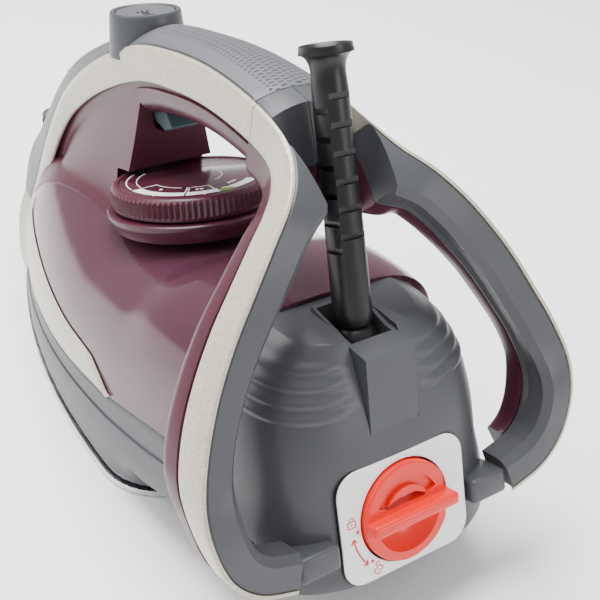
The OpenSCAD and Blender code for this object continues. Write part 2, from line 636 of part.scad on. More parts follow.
function strip_section(i) =
    let (w = strip_w(i), f = 1 - strip_t / edge[i][1], lift = crest_h(i) * (1 - f * f) * (1 - apart(i)))
    [[0, 0], [strip_t, -lift], [strip_t, w], [0, w - 0.6]];
module strip(side) mirrored(side) difference() {
    loft([for (i = [EDGE_N:-1:0]) edge_ring(i, strip_section(i))]);
    below_skirt();
    selector_room();
    tank_hull(-fit_c);
}
module left_strip() color(pearl) strip(1);
module right_strip() color(pearl) strip(-1);

// A pearl blade that runs back from the bow along the skirt's top edge and ends in a hook
BLADE_TOP = [[-41, 38.6], [-34, 43], [-25, 47.5], [6, 46], [42, 47], [70, 49], [90, 52], [101, 54]];
module hook_trim(side) mirrored(side) loft([for (i = [0:12]) hook_ring(lerp(100, -41, i / 12))]);
function hook_ring(x) =
    let (z0 = skirt_top(x * kx) + 0.6, z1 = max(profile(BLADE_TOP, x) * kz, z0 + 2))
    concat([for (t = [0, 1, 2]) let (z = lerp(z0, z1, t / 2)) [x * kx, tank_y(x * kx, z) + 2 * fit_c + 1.1, z]],
           [for (t = [2, 1, 0]) let (z = lerp(z0, z1, t / 2)) [x * kx, tank_y(x * kx, z) + 2 * fit_c, z]]);
// Half width of the tank's hull at height z
function tank_y(x, z) =
    let (z0 = tank_floor(x), f = min(max((z - z0) / (tank_top(x) - z0), 0), 1), n = tank_n(x))
    tank_w(x) * pow(1 - pow(f, n), 1 / n);
module left_hook_trim() color(pearl) hook_trim(1);
module right_hook_trim() color(pearl) hook_trim(-1);

/* Heel */

heel_front_x = tank_rear_x - fit_c;
heel_z0 = 13 * kz;
heel_face_z = 27 * kz;
heel_top = 100 * kz;
RIBS_FROM = 80;
RIBS_TO = 97;
RIB_PITCH = 4.25;
// The heel's rear face leans forward as the label plate does, rounds off below and bows in at the shoulders
function face_x(z) = plate_c[0] + (z - plate_c[2]) * tan(plate_tilt);
function heel_back(z) =
    z < heel_face_z ? face_x(heel_face_z) + 44 * kx * (1 - pow(1 - pow((heel_face_z - z) / (heel_face_z - heel_z0), 2), 0.5))
    : face_x(z) + (z > 62 * kz ? 0.006 * pow(z - 62 * kz, 2) : 0);
function heel_half(z) =
    let (f = max((z - 28 * kz) / (heel_top + 3 * kz - 28 * kz), 0),
         base = lerp(plan_w(tank_rear_x) - 1.4, tank_w(tank_rear_x) * 0.985, ease((z / kz - 38) / 16)))
    base * pow(1 - pow(f, 3.2), 1 / 3.2) * (1 - 0.1 * pow(max(heel_face_z - z, 0) / (heel_face_z - heel_z0), 2));
function rib(z) = z > RIBS_FROM * kz && z < RIBS_TO * kz ? 0.9 * bump(((z / kz - RIBS_FROM) / RIB_PITCH) % 1) : 0;
function heel_ring(z, inset) =
    let (w = heel_half(z) - inset + (inset > 0 ? 0 : rib(z)), back = heel_back(z) + inset - (inset > 0 ? 0 : rib(z)),
         front = heel_front_x + (inset > 0 ? 1 : 0))
    [for (k = [0:20]) let (a = 9 * k) [front - (front - back) * spow(sin(a), 0.62), w * spow(cos(a), 0.62), z]];
HEEL_LEVELS = concat([for (t = [0, 0.08, 0.25, 0.5, 0.75]) lerp(13, 27, t)], [27, 40, 52, 62, 71], [for (i = [0:16]) 80 + i * 17 / 16], [98.6, 99.6, 100]);

// Lugs on the heel's sides carry the ends of the legs
lug_y = 42.8 * ky;

module heel_cover() color(grey) difference() {
    union() {
        loft([for (z = HEEL_LEVELS) heel_ring(z * kz, 0)]);
        for (s = [-1, 1]) translate([-156.4 * kx, s > 0 ? 28 * ky : -lug_y, 37 * kz]) rotate([0, plate_tilt, 0])
            cube([14, lug_y - 28 * ky, 9]);
    }
    loft([for (i = [0:12]) heel_ring(lerp(heel_z0 + shell_wall, heel_top - shell_wall * 1.6, i / 12), shell_wall)]);
    outlet_room();
    on_plate(-plate_t - 0.1) plate_solid(plate_w + 0.5, plate_h + 0.5, 20, 8);
    on_plate(-40) cylinder(r = knob_r + 3.2, h = 60, $fn = 64);
}

// Local frame on the heel: z points out of the label plate, y up along it
module on_plate(out = 0) translate(plate_c) rotate([0, -90 + plate_tilt, 0]) rotate(-90) translate([0, 0, out]) children();

module plate_solid(w, h, t, r) linear_extrude(t) hull() for (sx = [-1, 1]) for (sy = [-1, 1])
    translate([sx * (w / 2 - r), sy * (h / 2 - r)]) circle(r = r, $fn = 48);

module label_plate() color(white) on_plate(-plate_t) difference() {
    plate_solid(plate_w, plate_h, plate_t, 8);
    translate([0, 0, -1]) cylinder(r = knob_r + 0.8, h = plate_t + 2, $fn = 96);
}

socket_l = 26;
module collector_socket() color(grey) on_plate(-socket_l - plate_t) difference() {
    cylinder(r = knob_r + 2.8, h = socket_l - 0.2, $fn = 96);
    translate([0, 0, socket_l - 12]) cylinder(r = knob_r + 0.4, h = 13, $fn = 96);
    translate([0, 0, -1]) cylinder(r = rod_r + run_c, h = socket_l, $fn = 48);
}

rod_l = 62;
module collector_rod() color(steel) on_plate(-rod_l - 9) difference() {
    cylinder(r = rod_r, h = rod_l, $fn = 48);
    for (i = [0:5]) translate([0, 0, 6 + 5 * i]) rotate([90, 0, 60 * i]) cylinder(r = 1.2, h = 20, center = true, $fn = 24);
}

module collector_knob() color(red) on_plate(-9 + fit_c) {
    cylinder(r = knob_r, h = 8, $fn = 96);
    translate([0, 0, 8]) difference() {
        cylinder(r = knob_r, h = 3, $fn = 96);
        for (s = [-1, 1]) translate([0, s * 11, 3.2]) scale([1, 0.5, 0.4]) sphere(r = 12, $fn = 48);
    }
    translate([-knob_r, -3.2, 8]) cube([2 * knob_r, 6.4, 8]);
}

module collector_seal() color(black) on_plate(-11.5) rotate_extrude($fn = 64)
    translate([rod_r + 1.25, 0]) circle(r = 1.2, $fn = 24);

/* Cord outlet: a spine on the heel with a spherical socket */

outlet_w = 19.5;
socket_r = ball_r + run_c;
module outlet_profile() polygon([
    [face_x(72 * kz) + 1, 72 * kz], [face_x(98.5 * kz) - 0.6, 98.5 * kz], [ball_c[0] - ball_r * 0.55, 98.5 * kz],
    [ball_c[0] + ball_r + 5, 101.5 * kz], [ball_c[0] + ball_r + 5, 82 * kz], [face_x(72 * kz) + 9, 72 * kz]
]);

module outlet_solid(w) rotate([90, 0, 0]) translate([0, 0, -w / 2]) linear_extrude(w) outlet_profile();
module outlet_room() {
    outlet_solid(outlet_w + 2 * fit_c);
    translate([ball_c[0] - 23, -outlet_w / 2 - fit_c, 94 * kz]) cube([28 + ball_r, outlet_w + 2 * fit_c, 20 * kz]);
}

module cord_outlet() color(grey) difference() {
    outlet_solid(outlet_w);
    translate(ball_c) sphere(r = socket_r, $fn = 96);
    outlet_mouth();
}

// Room for the guard over its whole tilt, in its own frame: a fan to both sides, swept fore and aft
guard_fore = 4;
guard_back = 22;
guard_side = 7;
module guard_fan(from, to, length) on_guard() rotate([90, 0, 90]) translate([0, 0, from]) linear_extrude(to - from)
    polygon([[-neck_r - move_c, 0], [neck_r + move_c, 0],
             [neck_r + move_c + length * tan(guard_side), length], [-neck_r - move_c - length * tan(guard_side), length]]);

module guard_room() translate(ball_c) rotate([0, guard_fore, 0]) translate(-ball_c) guard_fan(-60, neck_r + move_c, guard_l);
module outlet_mouth() {
    for (a = [-guard_back, -guard_back / 2, 0, guard_fore]) translate(ball_c) rotate([0, a, 0]) translate(-ball_c)
        guard_fan(-neck_r - move_c, neck_r + move_c, 26);
}

neck_r = 6.6;
module on_guard() translate(ball_c) rotate([0, guard_tilt, 0]) children();

module guard_ball() color(black) on_guard() difference() {
    sphere(r = ball_r, $fn = 96);
    translate([0, 0, -20]) cylinder(r = cord_r, h = 40, $fn = 48);
    yoke_pins(run_c, 0);
    translate([0, 0, ball_r - 1.2]) cylinder(r = 12, h = 10, $fn = 48);
}

// Two stub pins across the ball carry it, so that it leans to either side on them
module yoke_pins(extra, out) for (s = [0, 180]) rotate(s) translate([ball_r - 3.4, 0, 0]) rotate([0, 90, 0])
    cylinder(r = 1.5 + extra, h = 6 + out, $fn = 32);

module guard_yoke() color(steel) on_guard() yoke_pins(0, -2.8);

slot_rows = 12;
module cord_guard() color(black) on_guard() difference() {
    rotate_extrude($fn = 96) polygon(concat(
        [[cord_r, ball_r - 1], [neck_r - 0.6, ball_r - 1], [neck_r, ball_r + 3]],
        [[neck_r - 0.8, guard_l - 14], [neck_r - 1.1, guard_l - 9]],
        [for (i = [0:6]) [neck_r - 1.1 + 3.2 * (1 - cos(15 * i)), guard_l - 8 + 5.5 * sin(15 * i)]],
        [[8.4, guard_l - 1.2], [8.3, guard_l], [7, guard_l - 1], [cord_r, guard_l - 7]]
    ));
    for (i = [0:slot_rows - 1]) translate([0, 0, guard_l - 15 - 4.4 * i]) rotate(90 * (i % 2))
        for (s = [-1, 1]) translate([s * (cord_r + 5), 0, 0]) cube([2 * 4.2, 9, 2], center = true);
}

module terminal_block() color(white) translate([-98 * kx, 18 * ky, 29 * kz]) difference() {
    cube([13, 26, 9]);
    for (y = [5, 13, 21]) translate([-1, y, 4.5]) rotate([0, 90, 0]) cylinder(r = 2, h = 20, $fn = 24);
}

// Closes the underside between the soleplate and the heel
module base_plate() color(grey) loft([for (x = [-99, -92, -84, -76]) base_ring(x * kx)]);
function base_ring(x) =
    let (w = sole_w(sole_rear_x + 8 * kx) - 0.8 - shell_wall - 1.5, z = skirt_z + rear_lift(x) + 0.4)
    [[x, w, z], [x, w, z + 1.8], [x, -w, z + 1.8], [x, -w, z]];

HEEL_SCREWS = [[-136, 26, 0], [-136, -26, 0]];
module heel_screws() color(steel) for (p = HEEL_SCREWS) translate([p[0] * kx, p[1] * ky, heel_z0 - 0.1]) {
    translate([0, 0, -1.2]) cylinder(r = 3, h = 1.2, $fn = 32);
}

/* Filling door in the cover over the bow, below the selector */

door_from = 4 * ARCH_STEPS + 1;
door_to = 6 * ARCH_STEPS;
door_f = 0.55;
door_t = 2;
door_pin_r = 1.1;
hinge_i = door_from + 0.55;
hinge_c = crest_point(hinge_i, 0, -door_t / 2 - 1.6);

function door_ring(i, grow, up, down) =
    let (f = door_f + grow / edge_at(i)[1])
    concat([for (k = [0:6]) crest_point(i, f * (1 - k / 3), up)], [for (k = [6:-1:0]) crest_point(i, f * (1 - k / 3), down)]);

module fill_door() color(light_grey) difference() {
    union() {
        loft([for (i = [door_to:-1:door_from]) door_ring(i, 0, 0.3, -door_t)]);
        translate(hinge_c) rotate([90, 0, 0]) cylinder(r = door_pin_r + 1.2, h = 9, center = true, $fn = 48);
    }
    translate(hinge_c) rotate([90, 0, 0]) cylinder(r = door_pin_r + run_c, h = 40, center = true, $fn = 32);
}
module door_pin() color(steel) translate(hinge_c) rotate([90, 0, 0])
    cylinder(r = door_pin_r, h = 14, center = true, $fn = 32);

soleplate();
heater_casting();
heating_element();
chamber_seal();
chamber_cover();
sole_screws();
thermostat();
thermal_fuse();
skirt();
water_tank();
tank_baffles();
front_pillar();
handle_belly();
handle_shell();
grip_pad();
left_leg();
right_leg();
left_liner();
right_liner();
left_strip();
right_strip();
left_hook_trim();
right_hook_trim();
heel_cover();
cord_outlet();
base_plate();
heel_screws();
terminal_block();
label_plate();
collector_socket();
collector_knob();
collector_rod();
collector_seal();
dial_collar();
thermostat_dial();
dial_shaft();
dial_mark();
steam_selector();
valve_rod();
steam_valve();
steam_tube();
spray_button();
button_spring();
spray_pump();
pump_hose();
spray_nozzle();
boost_trigger();
trigger_spring();
fill_door();
door_pin();
cord_guard();
guard_ball();
guard_yoke();
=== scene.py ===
import math
import bpy
import bmesh
from mathutils import Matrix, Vector


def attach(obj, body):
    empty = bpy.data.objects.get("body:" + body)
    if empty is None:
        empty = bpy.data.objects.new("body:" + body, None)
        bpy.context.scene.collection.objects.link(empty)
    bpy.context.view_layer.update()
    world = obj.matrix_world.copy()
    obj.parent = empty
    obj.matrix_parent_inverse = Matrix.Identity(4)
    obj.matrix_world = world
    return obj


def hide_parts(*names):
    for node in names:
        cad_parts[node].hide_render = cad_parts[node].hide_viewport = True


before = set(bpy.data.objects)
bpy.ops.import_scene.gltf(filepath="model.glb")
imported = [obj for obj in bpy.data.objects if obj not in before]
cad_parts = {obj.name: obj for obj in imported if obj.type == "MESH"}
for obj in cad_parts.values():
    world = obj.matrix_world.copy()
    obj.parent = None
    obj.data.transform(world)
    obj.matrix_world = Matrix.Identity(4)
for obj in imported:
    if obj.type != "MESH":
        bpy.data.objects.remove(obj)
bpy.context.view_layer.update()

MM = 0.001

# ---------------------------------------------------------------- small maths


def lerp(a, b, t):
    return a + (b - a) * t


def clamp(t, low=0.0, high=1.0):
    return max(low, min(high, t))


def ease(t):
    t = clamp(t)
    return t * t * (3 - 2 * t)


def spow(v, e):
    return math.copysign(abs(v) ** e, v)


def spline(a, b, c, d, t):
    """One Catmull-Rom span from b to c."""
    return b + (c - a + (a * 2 - b * 5 + c * 4 - d + (b * 3 - c * 3 + d - a) * t) * t) * (0.5 * t)


def profile(pairs, x):
    """A smooth value between (position, value) pairs."""
    if x <= pairs[0][0]:
        return pairs[0][1]
    if x >= pairs[-1][0]:
        return pairs[-1][1]
    i = max(k for k in range(len(pairs) - 1) if pairs[k][0] <= x)
    t = (x - pairs[i][0]) / (pairs[i + 1][0] - pairs[i][0])
    v = [pairs[clamp(k, 0, len(pairs) - 1)][1] for k in (i - 1, i, i + 1, i + 2)]
    return spline(*v, t)


# ---------------------------------------------------------------- the iron's lines, in millimetres

NOSE, HEEL, WIDEST, SOLE_REAR = 166.0, -166.0, -38.0, -72.0
BODY_W = 115.0
SKIRT_TOP = [(-112, 50), (-86, 47), (-42, 37.5), (15, 27), (80, 17), (150, 11)]
TANK_TOP = [(-112, 101), (-88, 102), (-65, 99), (-45, 91), (-15, 87), (15, 88), (45, 87), (75, 82),
    (104, 73)]
TANK_SQUARE = [(-100, 3.6), (-50, 3.4), (0, 2.7), (40, 2.5)]
BLADE_TOP = [(-41, 38.6), (-34, 43), (-25, 47.5), (6, 46), (42, 47), (70, 49), (90, 52), (101, 54)]
CREST = [(0, 54), (1, 47), (2, 38), (3, 29), (4, 22), (5, 15), (6, 9), (7, 6.5), (8, 4.6), (9, 3.6),
    (10, 3.2), (11, 3)]
STRIP_W = [(0, 5), (2, 5.5), (4, 7.5), (6, 11), (9, 13.5), (16, 12.5), (20, 12), (22, 6), (23, 1.5)]
ARCH = [Vector(p) for p in (
    (104, 29, 13), (107, 25, 35), (101, 22, 55), (94, 19.5, 76), (86, 17.5, 94), (73, 16, 112), (48, 15,
        132),
    (14, 14.5, 150), (-15, 14.5, 158), (-42, 14.5, 161.5), (-72, 15.5, 161), (-92, 17, 157.5), (-104, 21,
        153),
    (-113, 28, 148), (-119, 37, 139.5), (-124, 46, 129), (-128.5, 55, 117), (-133.5, 63, 104),
    (-140, 70, 90.5), (-146.5, 74.5, 77), (-151.5, 74, 64), (-155, 69, 50.5), (-157, 59.5, 41.5), (-157.5,
        46, 36.5))]
LEG_START, FOOT = 10.0, 23.0
STRIP_T = 1.4

DIAL = Vector((-8.6, 0, 104))
DIAL_TILT = 13.5
SELECTOR = Vector((30, 0, 158.5))
SELECTOR_TILT = 9.0
PLATE = Vector((-151.3, 0, 45.3))
PLATE_TILT, PLATE_W, PLATE_H = 18.0, 52.0, 41.0
LEG_SPAN = 75.2
BALL = Vector((-117, 0, 92))
GUARD_TILT = 17.5
TRIGGER = Vector((27, 0, 128))


def arch_point(s):
    s = clamp(s, 0, FOOT)
    k = min(int(s), len(ARCH) - 2)
    p = [ARCH[clamp(j, 0, len(ARCH) - 1)] for j in (k - 1, k, k + 1, k + 2)]
    return spline(*p, s - k)


def arch_frame(s):
    """Edge point, the direction into the arch, and the direction towards the middle plane."""
    p = arch_point(s)
    along = arch_point(s + 0.33) - arch_point(s - 0.33)
    along.y *= ease((s * 3 - 30) / 4)
    along.normalize()
    x = -20 - p.x
    low = ease((95 - p.z) / 50) if x > 0 else 0
    c = Vector((x, 0, lerp(95 - p.z, -0.3 * x, low)))
    inward = (c - along * c.dot(along)).normalized()
    across = along.cross(inward).normalized()
    if (across.y > 0) if s < 20 else (across.z < 0):
        across.negate()
    return p, inward, across


def arch_ring(s, section):
    p, inward, across = arch_frame(s)
    ring = [p + across * a + inward * d for a, d in section]
    return [Vector((v.x, min(v.y, LEG_SPAN), v.z)) for v in ring]


def crest(s):
    return profile(CREST, s)


def cover_point(s, f, lift):
    """A point on the cover over the arch; f runs from -1 to 1 across."""
    p, inward, _ = arch_frame(s)
    n = Vector((inward.x, 0, inward.z)).normalized()
    return Vector((p.x, p.y * f, p.z)) - n * (crest(s) * (1 - f * f) + lift)


def plan_w(x):
    if x >= WIDEST:
        return BODY_W / 2 * (1 - clamp((x - WIDEST) / (NOSE - WIDEST)) ** 2.13)
    return BODY_W / 2 * (1 - 0.2 * ((WIDEST - x) / (WIDEST - HEEL)) ** 1.6)


def sole_w(x):
    if x >= WIDEST:
        return plan_w(x)
    return BODY_W / 2 * max(1 - clamp((WIDEST - x) / (WIDEST - SOLE_REAR)) ** 2.5, 0) ** 0.4


def skirt_top(x):
    return profile(SKIRT_TOP, x)


def tank_top(x):
    return profile(TANK_TOP, x)


def tank_floor(x):
    return max(skirt_top(x) + 0.25, 20.8)


def tank_w(x):
    return plan_w(x) - 3.5


def tank_n(x):
    return profile(TANK_SQUARE, x)


def tank_z(x, y):
    f = clamp(abs(y) / tank_w(x))
    return tank_floor(x) + (tank_top(x) - tank_floor(x)) * max(1 - f ** tank_n(x), 0) ** (1 / tank_n(x))


def tank_y(x, z):
    f = clamp((z - tank_floor(x)) / (tank_top(x) - tank_floor(x)))
    return tank_w(x) * max(1 - f ** tank_n(x), 0) ** (1 / tank_n(x))


def face_x(z):
    return PLATE.x + (z - PLATE.z) * math.tan(math.radians(PLATE_TILT))


def place(centre, tilt):
    """Matrix of a round piece that leans forward by tilt degrees, in millimetres."""
    return Matrix.Translation(centre) @ Matrix.Rotation(math.radians(tilt), 4, "Y")


ON_DIAL = place(DIAL, DIAL_TILT)
ON_SELECTOR = place(SELECTOR, SELECTOR_TILT)
ON_PLATE = place(PLATE, -90 + PLATE_TILT) @ Matrix.Rotation(math.radians(-90), 4, "Z")

# ---------------------------------------------------------------- making pieces


def sharpen(bm, angle):
    for f in bm.faces:
        f.smooth = True
    for e in bm.edges:
        e.smooth = not (len(e.link_faces) == 2 and e.calc_face_angle(0) > math.radians(angle))


def piece(name, bm, body, finish, *nodes, slot=None, angle=32):
    """The object of a finished bmesh in millimetres, riding on its body."""
    bmesh.ops.scale(bm, vec=(MM, MM, MM), verts=bm.verts)
    sharpen(bm, angle)
    mesh = bpy.data.meshes.new(name)
    bm.to_mesh(mesh)
    bm.free()
    obj = bpy.data.objects.new(name, mesh)
    bpy.context.scene.collection.objects.link(obj)
    mesh.materials.append(finish)
    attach(obj, body)
    if nodes:
        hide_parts(*nodes)
    return obj


def skin(rings, closed=True, ends=True):
    """A grid laid over rings of points; closed rings are welded and their ends are filled."""
    m, n = len(rings), len(rings[0])
    cols = n if closed else n - 1
    bm = bmesh.new()
    bmesh.ops.create_grid(bm, x_segments=m - 1, y_segments=cols, size=0.5)
    uv = bm.loops.layers.uv.new("around")
    step = {v: (round((v.co.x + 0.5) * (m - 1)), round((v.co.y + 0.5) * cols)) for v in bm.verts}
    for f in bm.faces:
        for l in f.loops:
            i, j = step[l.vert]
            l[uv].uv = (i / (m - 1), j / cols)
    for v, (i, j) in step.items():
        v.co = rings[i][j % n]
    if closed:
        bmesh.ops.remove_doubles(bm, verts=bm.verts, dist=1e-5)
        if ends:
            bmesh.ops.holes_fill(bm, edges=[e for e in bm.edges if e.is_boundary], sides=0)
    bmesh.ops.recalc_face_normals(bm, faces=bm.faces)
    return bm


def lathe(points, steps=96, matrix=None):
    """A full turn of (radius, height) points about the upright axis."""
    bm = bmesh.new()
    verts = [bm.verts.new((r, 0, z)) for r, z in points]
    edges = [bm.edges.new(pair) for pair in zip(verts, verts[1:])]
    bmesh.ops.spin(bm, geom=verts + edges, axis=(0, 0, 1), cent=(0, 0, 0), angle=math.tau, steps=steps,
        use_merge=True)
    bmesh.ops.remove_doubles(bm, verts=bm.verts, dist=1e-4)
    bmesh.ops.recalc_face_normals(bm, faces=bm.faces)
    if matrix:
        bmesh.ops.transform(bm, matrix=matrix, verts=bm.verts)
    return bm


def block(x0, y0, z0, x1, y1, z1, round_r=0.0, matrix=None, segments=3):
    bm = bmesh.new()
    bmesh.ops.create_cube(bm, size=1)
    bmesh.ops.scale(bm, vec=(x1 - x0, y1 - y0, z1 - z0), verts=bm.verts)
    bmesh.ops.translate(bm, vec=((x0 + x1) / 2, (y0 + y1) / 2, (z0 + z1) / 2), verts=bm.verts)
    if round_r:
        round_off(bm, bm.edges[:], round_r, segments)
    if matrix:
        bmesh.ops.transform(bm, matrix=matrix, verts=bm.verts)
    return bm


def round_off(bm, edges, r, segments=3):
    bmesh.ops.bevel(bm, geom=edges, offset=r, affect="EDGES", segments=segments, profile=0.5, material=-1,
        clamp_overlap=True)


def slab(outline, z0, z1, rim=0.0, matrix=None):
    """A flat plate of an outline, with an eased upper rim."""
    bm = bmesh.new()
    face = bm.faces.new([bm.verts.new((x, y, z0)) for x, y in outline])
    out = bmesh.ops.extrude_face_region(bm, geom=[face])
    top = [v for v in out["geom"] if isinstance(v, bmesh.types.BMVert)]
    bmesh.ops.translate(bm, vec=(0, 0, z1 - z0), verts=top)
    bmesh.ops.recalc_face_normals(bm, faces=bm.faces)
    if rim:
        round_off(bm, [e for e in bm.edges if all(abs(v.co.z - z1) < 1e-6 for v in e.verts)], rim, 3)
    if matrix:
        bmesh.ops.transform(bm, matrix=matrix, verts=bm.verts)
    return bm


def joined(*shapes):
    """One bmesh of several, which lie beside or in each other."""
    bm = shapes[0]
    for other in shapes[1:]:
        mesh = bpy.data.meshes.new("part")
        other.to_mesh(mesh)
        other.free()
        bm.from_mesh(mesh)
        bpy.data.meshes.remove(mesh)
    return bm


def cut(bm, *cutters, keep="DIFFERENCE"):
    """bm without the cutters' solids."""
    meshes = []
    for shape in (bm,) + cutters:
        mesh = bpy.data.meshes.new("cut")
        shape.to_mesh(mesh)
        shape.free()
        meshes.append(mesh)
    objs = [bpy.data.objects.new("cut", mesh) for mesh in meshes]
    for o in objs:
        bpy.context.scene.collection.objects.link(o)
    for tool in objs[1:]:
        mod = objs[0].modifiers.new("cut", "BOOLEAN")
        mod.operation = keep
        mod.solver = "EXACT"
        mod.object = tool
    graph = bpy.context.evaluated_depsgraph_get()
    done = bpy.data.meshes.new_from_object(objs[0].evaluated_get(graph))
    out = bmesh.new()
    out.from_mesh(done)
    bpy.data.meshes.remove(done)
    for o in objs:
        bpy.data.objects.remove(o)
    for mesh in meshes:
        bpy.data.meshes.remove(mesh)
    bmesh.ops.remove_doubles(out, verts=out.verts, dist=1e-4)
    return out


def mirrored(bm):
    bmesh.ops.scale(bm, vec=(1, -1, 1), verts=bm.verts)
    bmesh.ops.recalc_face_normals(bm, faces=bm.faces)
    return bm


def soften(obj, width, segments=2, angle=35):
    """Eased edges on a hard piece."""
    mod = obj.modifiers.new("eased_edges", "BEVEL")
    mod.width = width * MM
    mod.segments = segments
    mod.limit_method = "ANGLE"
    mod.angle_limit = math.radians(angle)
    mod.harden_normals = True


def refined(node, body, finish, width=0.3, angle=30, slot=None):
    """A copy of a CAD node with merged faces, smooth rounds and eased edges, standing for it."""
    bm = bmesh.new()
    bm.from_mesh(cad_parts[node].data)
    bmesh.ops.scale(bm, vec=(1000, 1000, 1000), verts=bm.verts)
    bmesh.ops.remove_doubles(bm, verts=bm.verts, dist=2e-3)
    bmesh.ops.dissolve_limit(bm, angle_limit=math.radians(1), verts=bm.verts, edges=bm.edges)
    obj = piece("fine_" + node, bm, body, finish, node, slot=slot, angle=angle)
    if width:
        soften(obj, width)
    return obj


# ---------------------------------------------------------------- finishes


class Nodes:
    """Nodes of one tree, added by type and wired by name."""

    def __init__(self, tree):
        self.tree = tree

    def add(self, kind, **values):
        node = self.tree.nodes.new("ShaderNode" + kind)
        for key, value in values.items():
            if key in node.inputs:
                self.put(node.inputs[key], value)
            else:
                setattr(node, key, value)
        return node

    def put(self, socket, value):
        if isinstance(value, bpy.types.NodeSocket):
            self.tree.links.new(value, socket)
        else:
            socket.default_value = value

    def math(self, operation, a, b=0.0, c=0.0):
        node = self.tree.nodes.new("ShaderNodeMath")
        node.operation = operation
        for socket, value in zip(node.inputs, (a, b, c)):
            self.put(socket, value)
        return node.outputs[0]

    def mix(self, factor, a, b):
        node = self.tree.nodes.new("ShaderNodeMix")
        node.data_type = "RGBA"
        self.put(node.inputs[0], factor)
        self.put(node.inputs[6], a)
        self.put(node.inputs[7], b)
        return node.outputs[2]

    def spread(self, value, low, high, to_low=0.0, to_high=1.0):
        node = self.add("MapRange")
        for socket, v in zip(node.inputs[:5], (value, low, high, to_low, to_high)):
            self.put(socket, v)
        return node.outputs[0]


def group(name, inputs, outputs):
    tree = bpy.data.node_groups.new(name, "ShaderNodeTree")
    for label, kind, value in inputs:
        socket = tree.interface.new_socket(label, in_out="INPUT", socket_type=kind)
        if value is not None:
            socket.default_value = value
    for label, kind in outputs:
        tree.interface.new_socket(label, in_out="OUTPUT", socket_type=kind)
    given, result = tree.nodes.new("NodeGroupInput"), tree.nodes.new("NodeGroupOutput")
    return tree, Nodes(tree), given.outputs, result.inputs


def moulded_grain():
    """Fine spark-eroded grain of moulded plastic, with slow mottling in colour and gloss."""
    tree, n, given, out = group("moulded_grain", [
        ("Colour", "NodeSocketColor", (0.5, 0.5, 0.5, 1)), ("Grain size", "NodeSocketFloat", 0.35),
        ("Mottle", "NodeSocketFloat", 0.06), ("Roughness", "NodeSocketFloat", 0.4)],
        [("Colour", "NodeSocketColor"), ("Roughness", "NodeSocketFloat"), ("Height", "NodeSocketFloat")])
    where = n.add("TexCoord").outputs["Object"]
    fine = n.add("TexNoise", Vector=where, Scale=n.math("DIVIDE", 1000.0, given["Grain size"]),
        Detail=3.0, Roughness=0.6)
    slow = n.add("TexNoise", Vector=where, Scale=22.0, Detail=2.0)
    sway = n.math("MULTIPLY", n.math("SUBTRACT", slow.outputs[0], 0.5), given["Mottle"])
    tone = n.add("HueSaturation", Value=n.math("ADD", 1.0, n.math("MULTIPLY", sway, 2.0)),
        Color=given["Colour"])
    n.put(out["Colour"], tone.outputs[0])
    gloss = n.math("ADD", given["Roughness"], n.math("MULTIPLY", n.math("SUBTRACT", fine.outputs[0], 0.5),
        0.12))
    n.put(out["Roughness"], n.math("ADD", gloss, sway))
    n.put(out["Height"], fine.outputs[0])
    return tree


def handling_marks():
    """Faint smears and hairlines where hands and cloths rub."""
    tree, n, given, out = group("handling_marks", [("Amount", "NodeSocketFloat", 0.1)],
        [("Mask", "NodeSocketFloat")])
    where = n.add("TexCoord").outputs["Object"]
    smear = n.add("TexNoise", Vector=where, Scale=38.0, Detail=4.0, Distortion=1.2)
    turned = n.add("Mapping", Vector=where, Scale=(400, 30, 60), Rotation=(0.4, 0.2, 0.9))
    hair = n.add("TexNoise", Vector=turned.outputs[0], Scale=4.0, Detail=2.0)
    both = n.math("ADD", n.spread(smear.outputs[0], 0.52, 0.75),
        n.spread(hair.outputs[0], 0.66, 0.72, 0.0, 0.5))
    n.put(out["Mask"], n.math("MULTIPLY", both, given["Amount"]))
    return tree


GRAIN = moulded_grain()
MARKS = handling_marks()


def finish(name):
    mat = bpy.data.materials.new(name)
    mat.use_nodes = True
    n = Nodes(mat.node_tree)
    return mat, n, mat.node_tree.nodes["Principled BSDF"]


def placed(n, tree, **values):
    node = n.tree.nodes.new("ShaderNodeGroup")
    node.node_tree = tree
    for key, value in values.items():
        n.put(node.inputs[key], value)
    return node


def plastic(name, colour, roughness, grain=0.35, depth=0.03, mottle=0.05, marks=0.06, coat=0.0,
    coat_rough=0.15, ior=1.5):
    mat, n, bsdf = finish(name)
    base = placed(n, GRAIN, **{"Colour": (*colour, 1), "Grain size": grain, "Mottle": mottle,
        "Roughness": roughness})
    rubbed = placed(n, MARKS, Amount=marks)
    n.put(bsdf.inputs["Base Color"], base.outputs["Colour"])
    n.put(bsdf.inputs["Roughness"], n.math("ADD", base.outputs["Roughness"], rubbed.outputs[0]))
    bump = n.add("Bump", Height=base.outputs["Height"], Strength=0.35, Distance=depth * MM)
    n.put(bsdf.inputs["Normal"], bump.outputs[0])
    bsdf.inputs["Coat Weight"].default_value = coat
    bsdf.inputs["Coat Roughness"].default_value = coat_rough
    bsdf.inputs["IOR"].default_value = ior
    bsdf.inputs["Specular IOR Level"].default_value = 0.32
    return mat


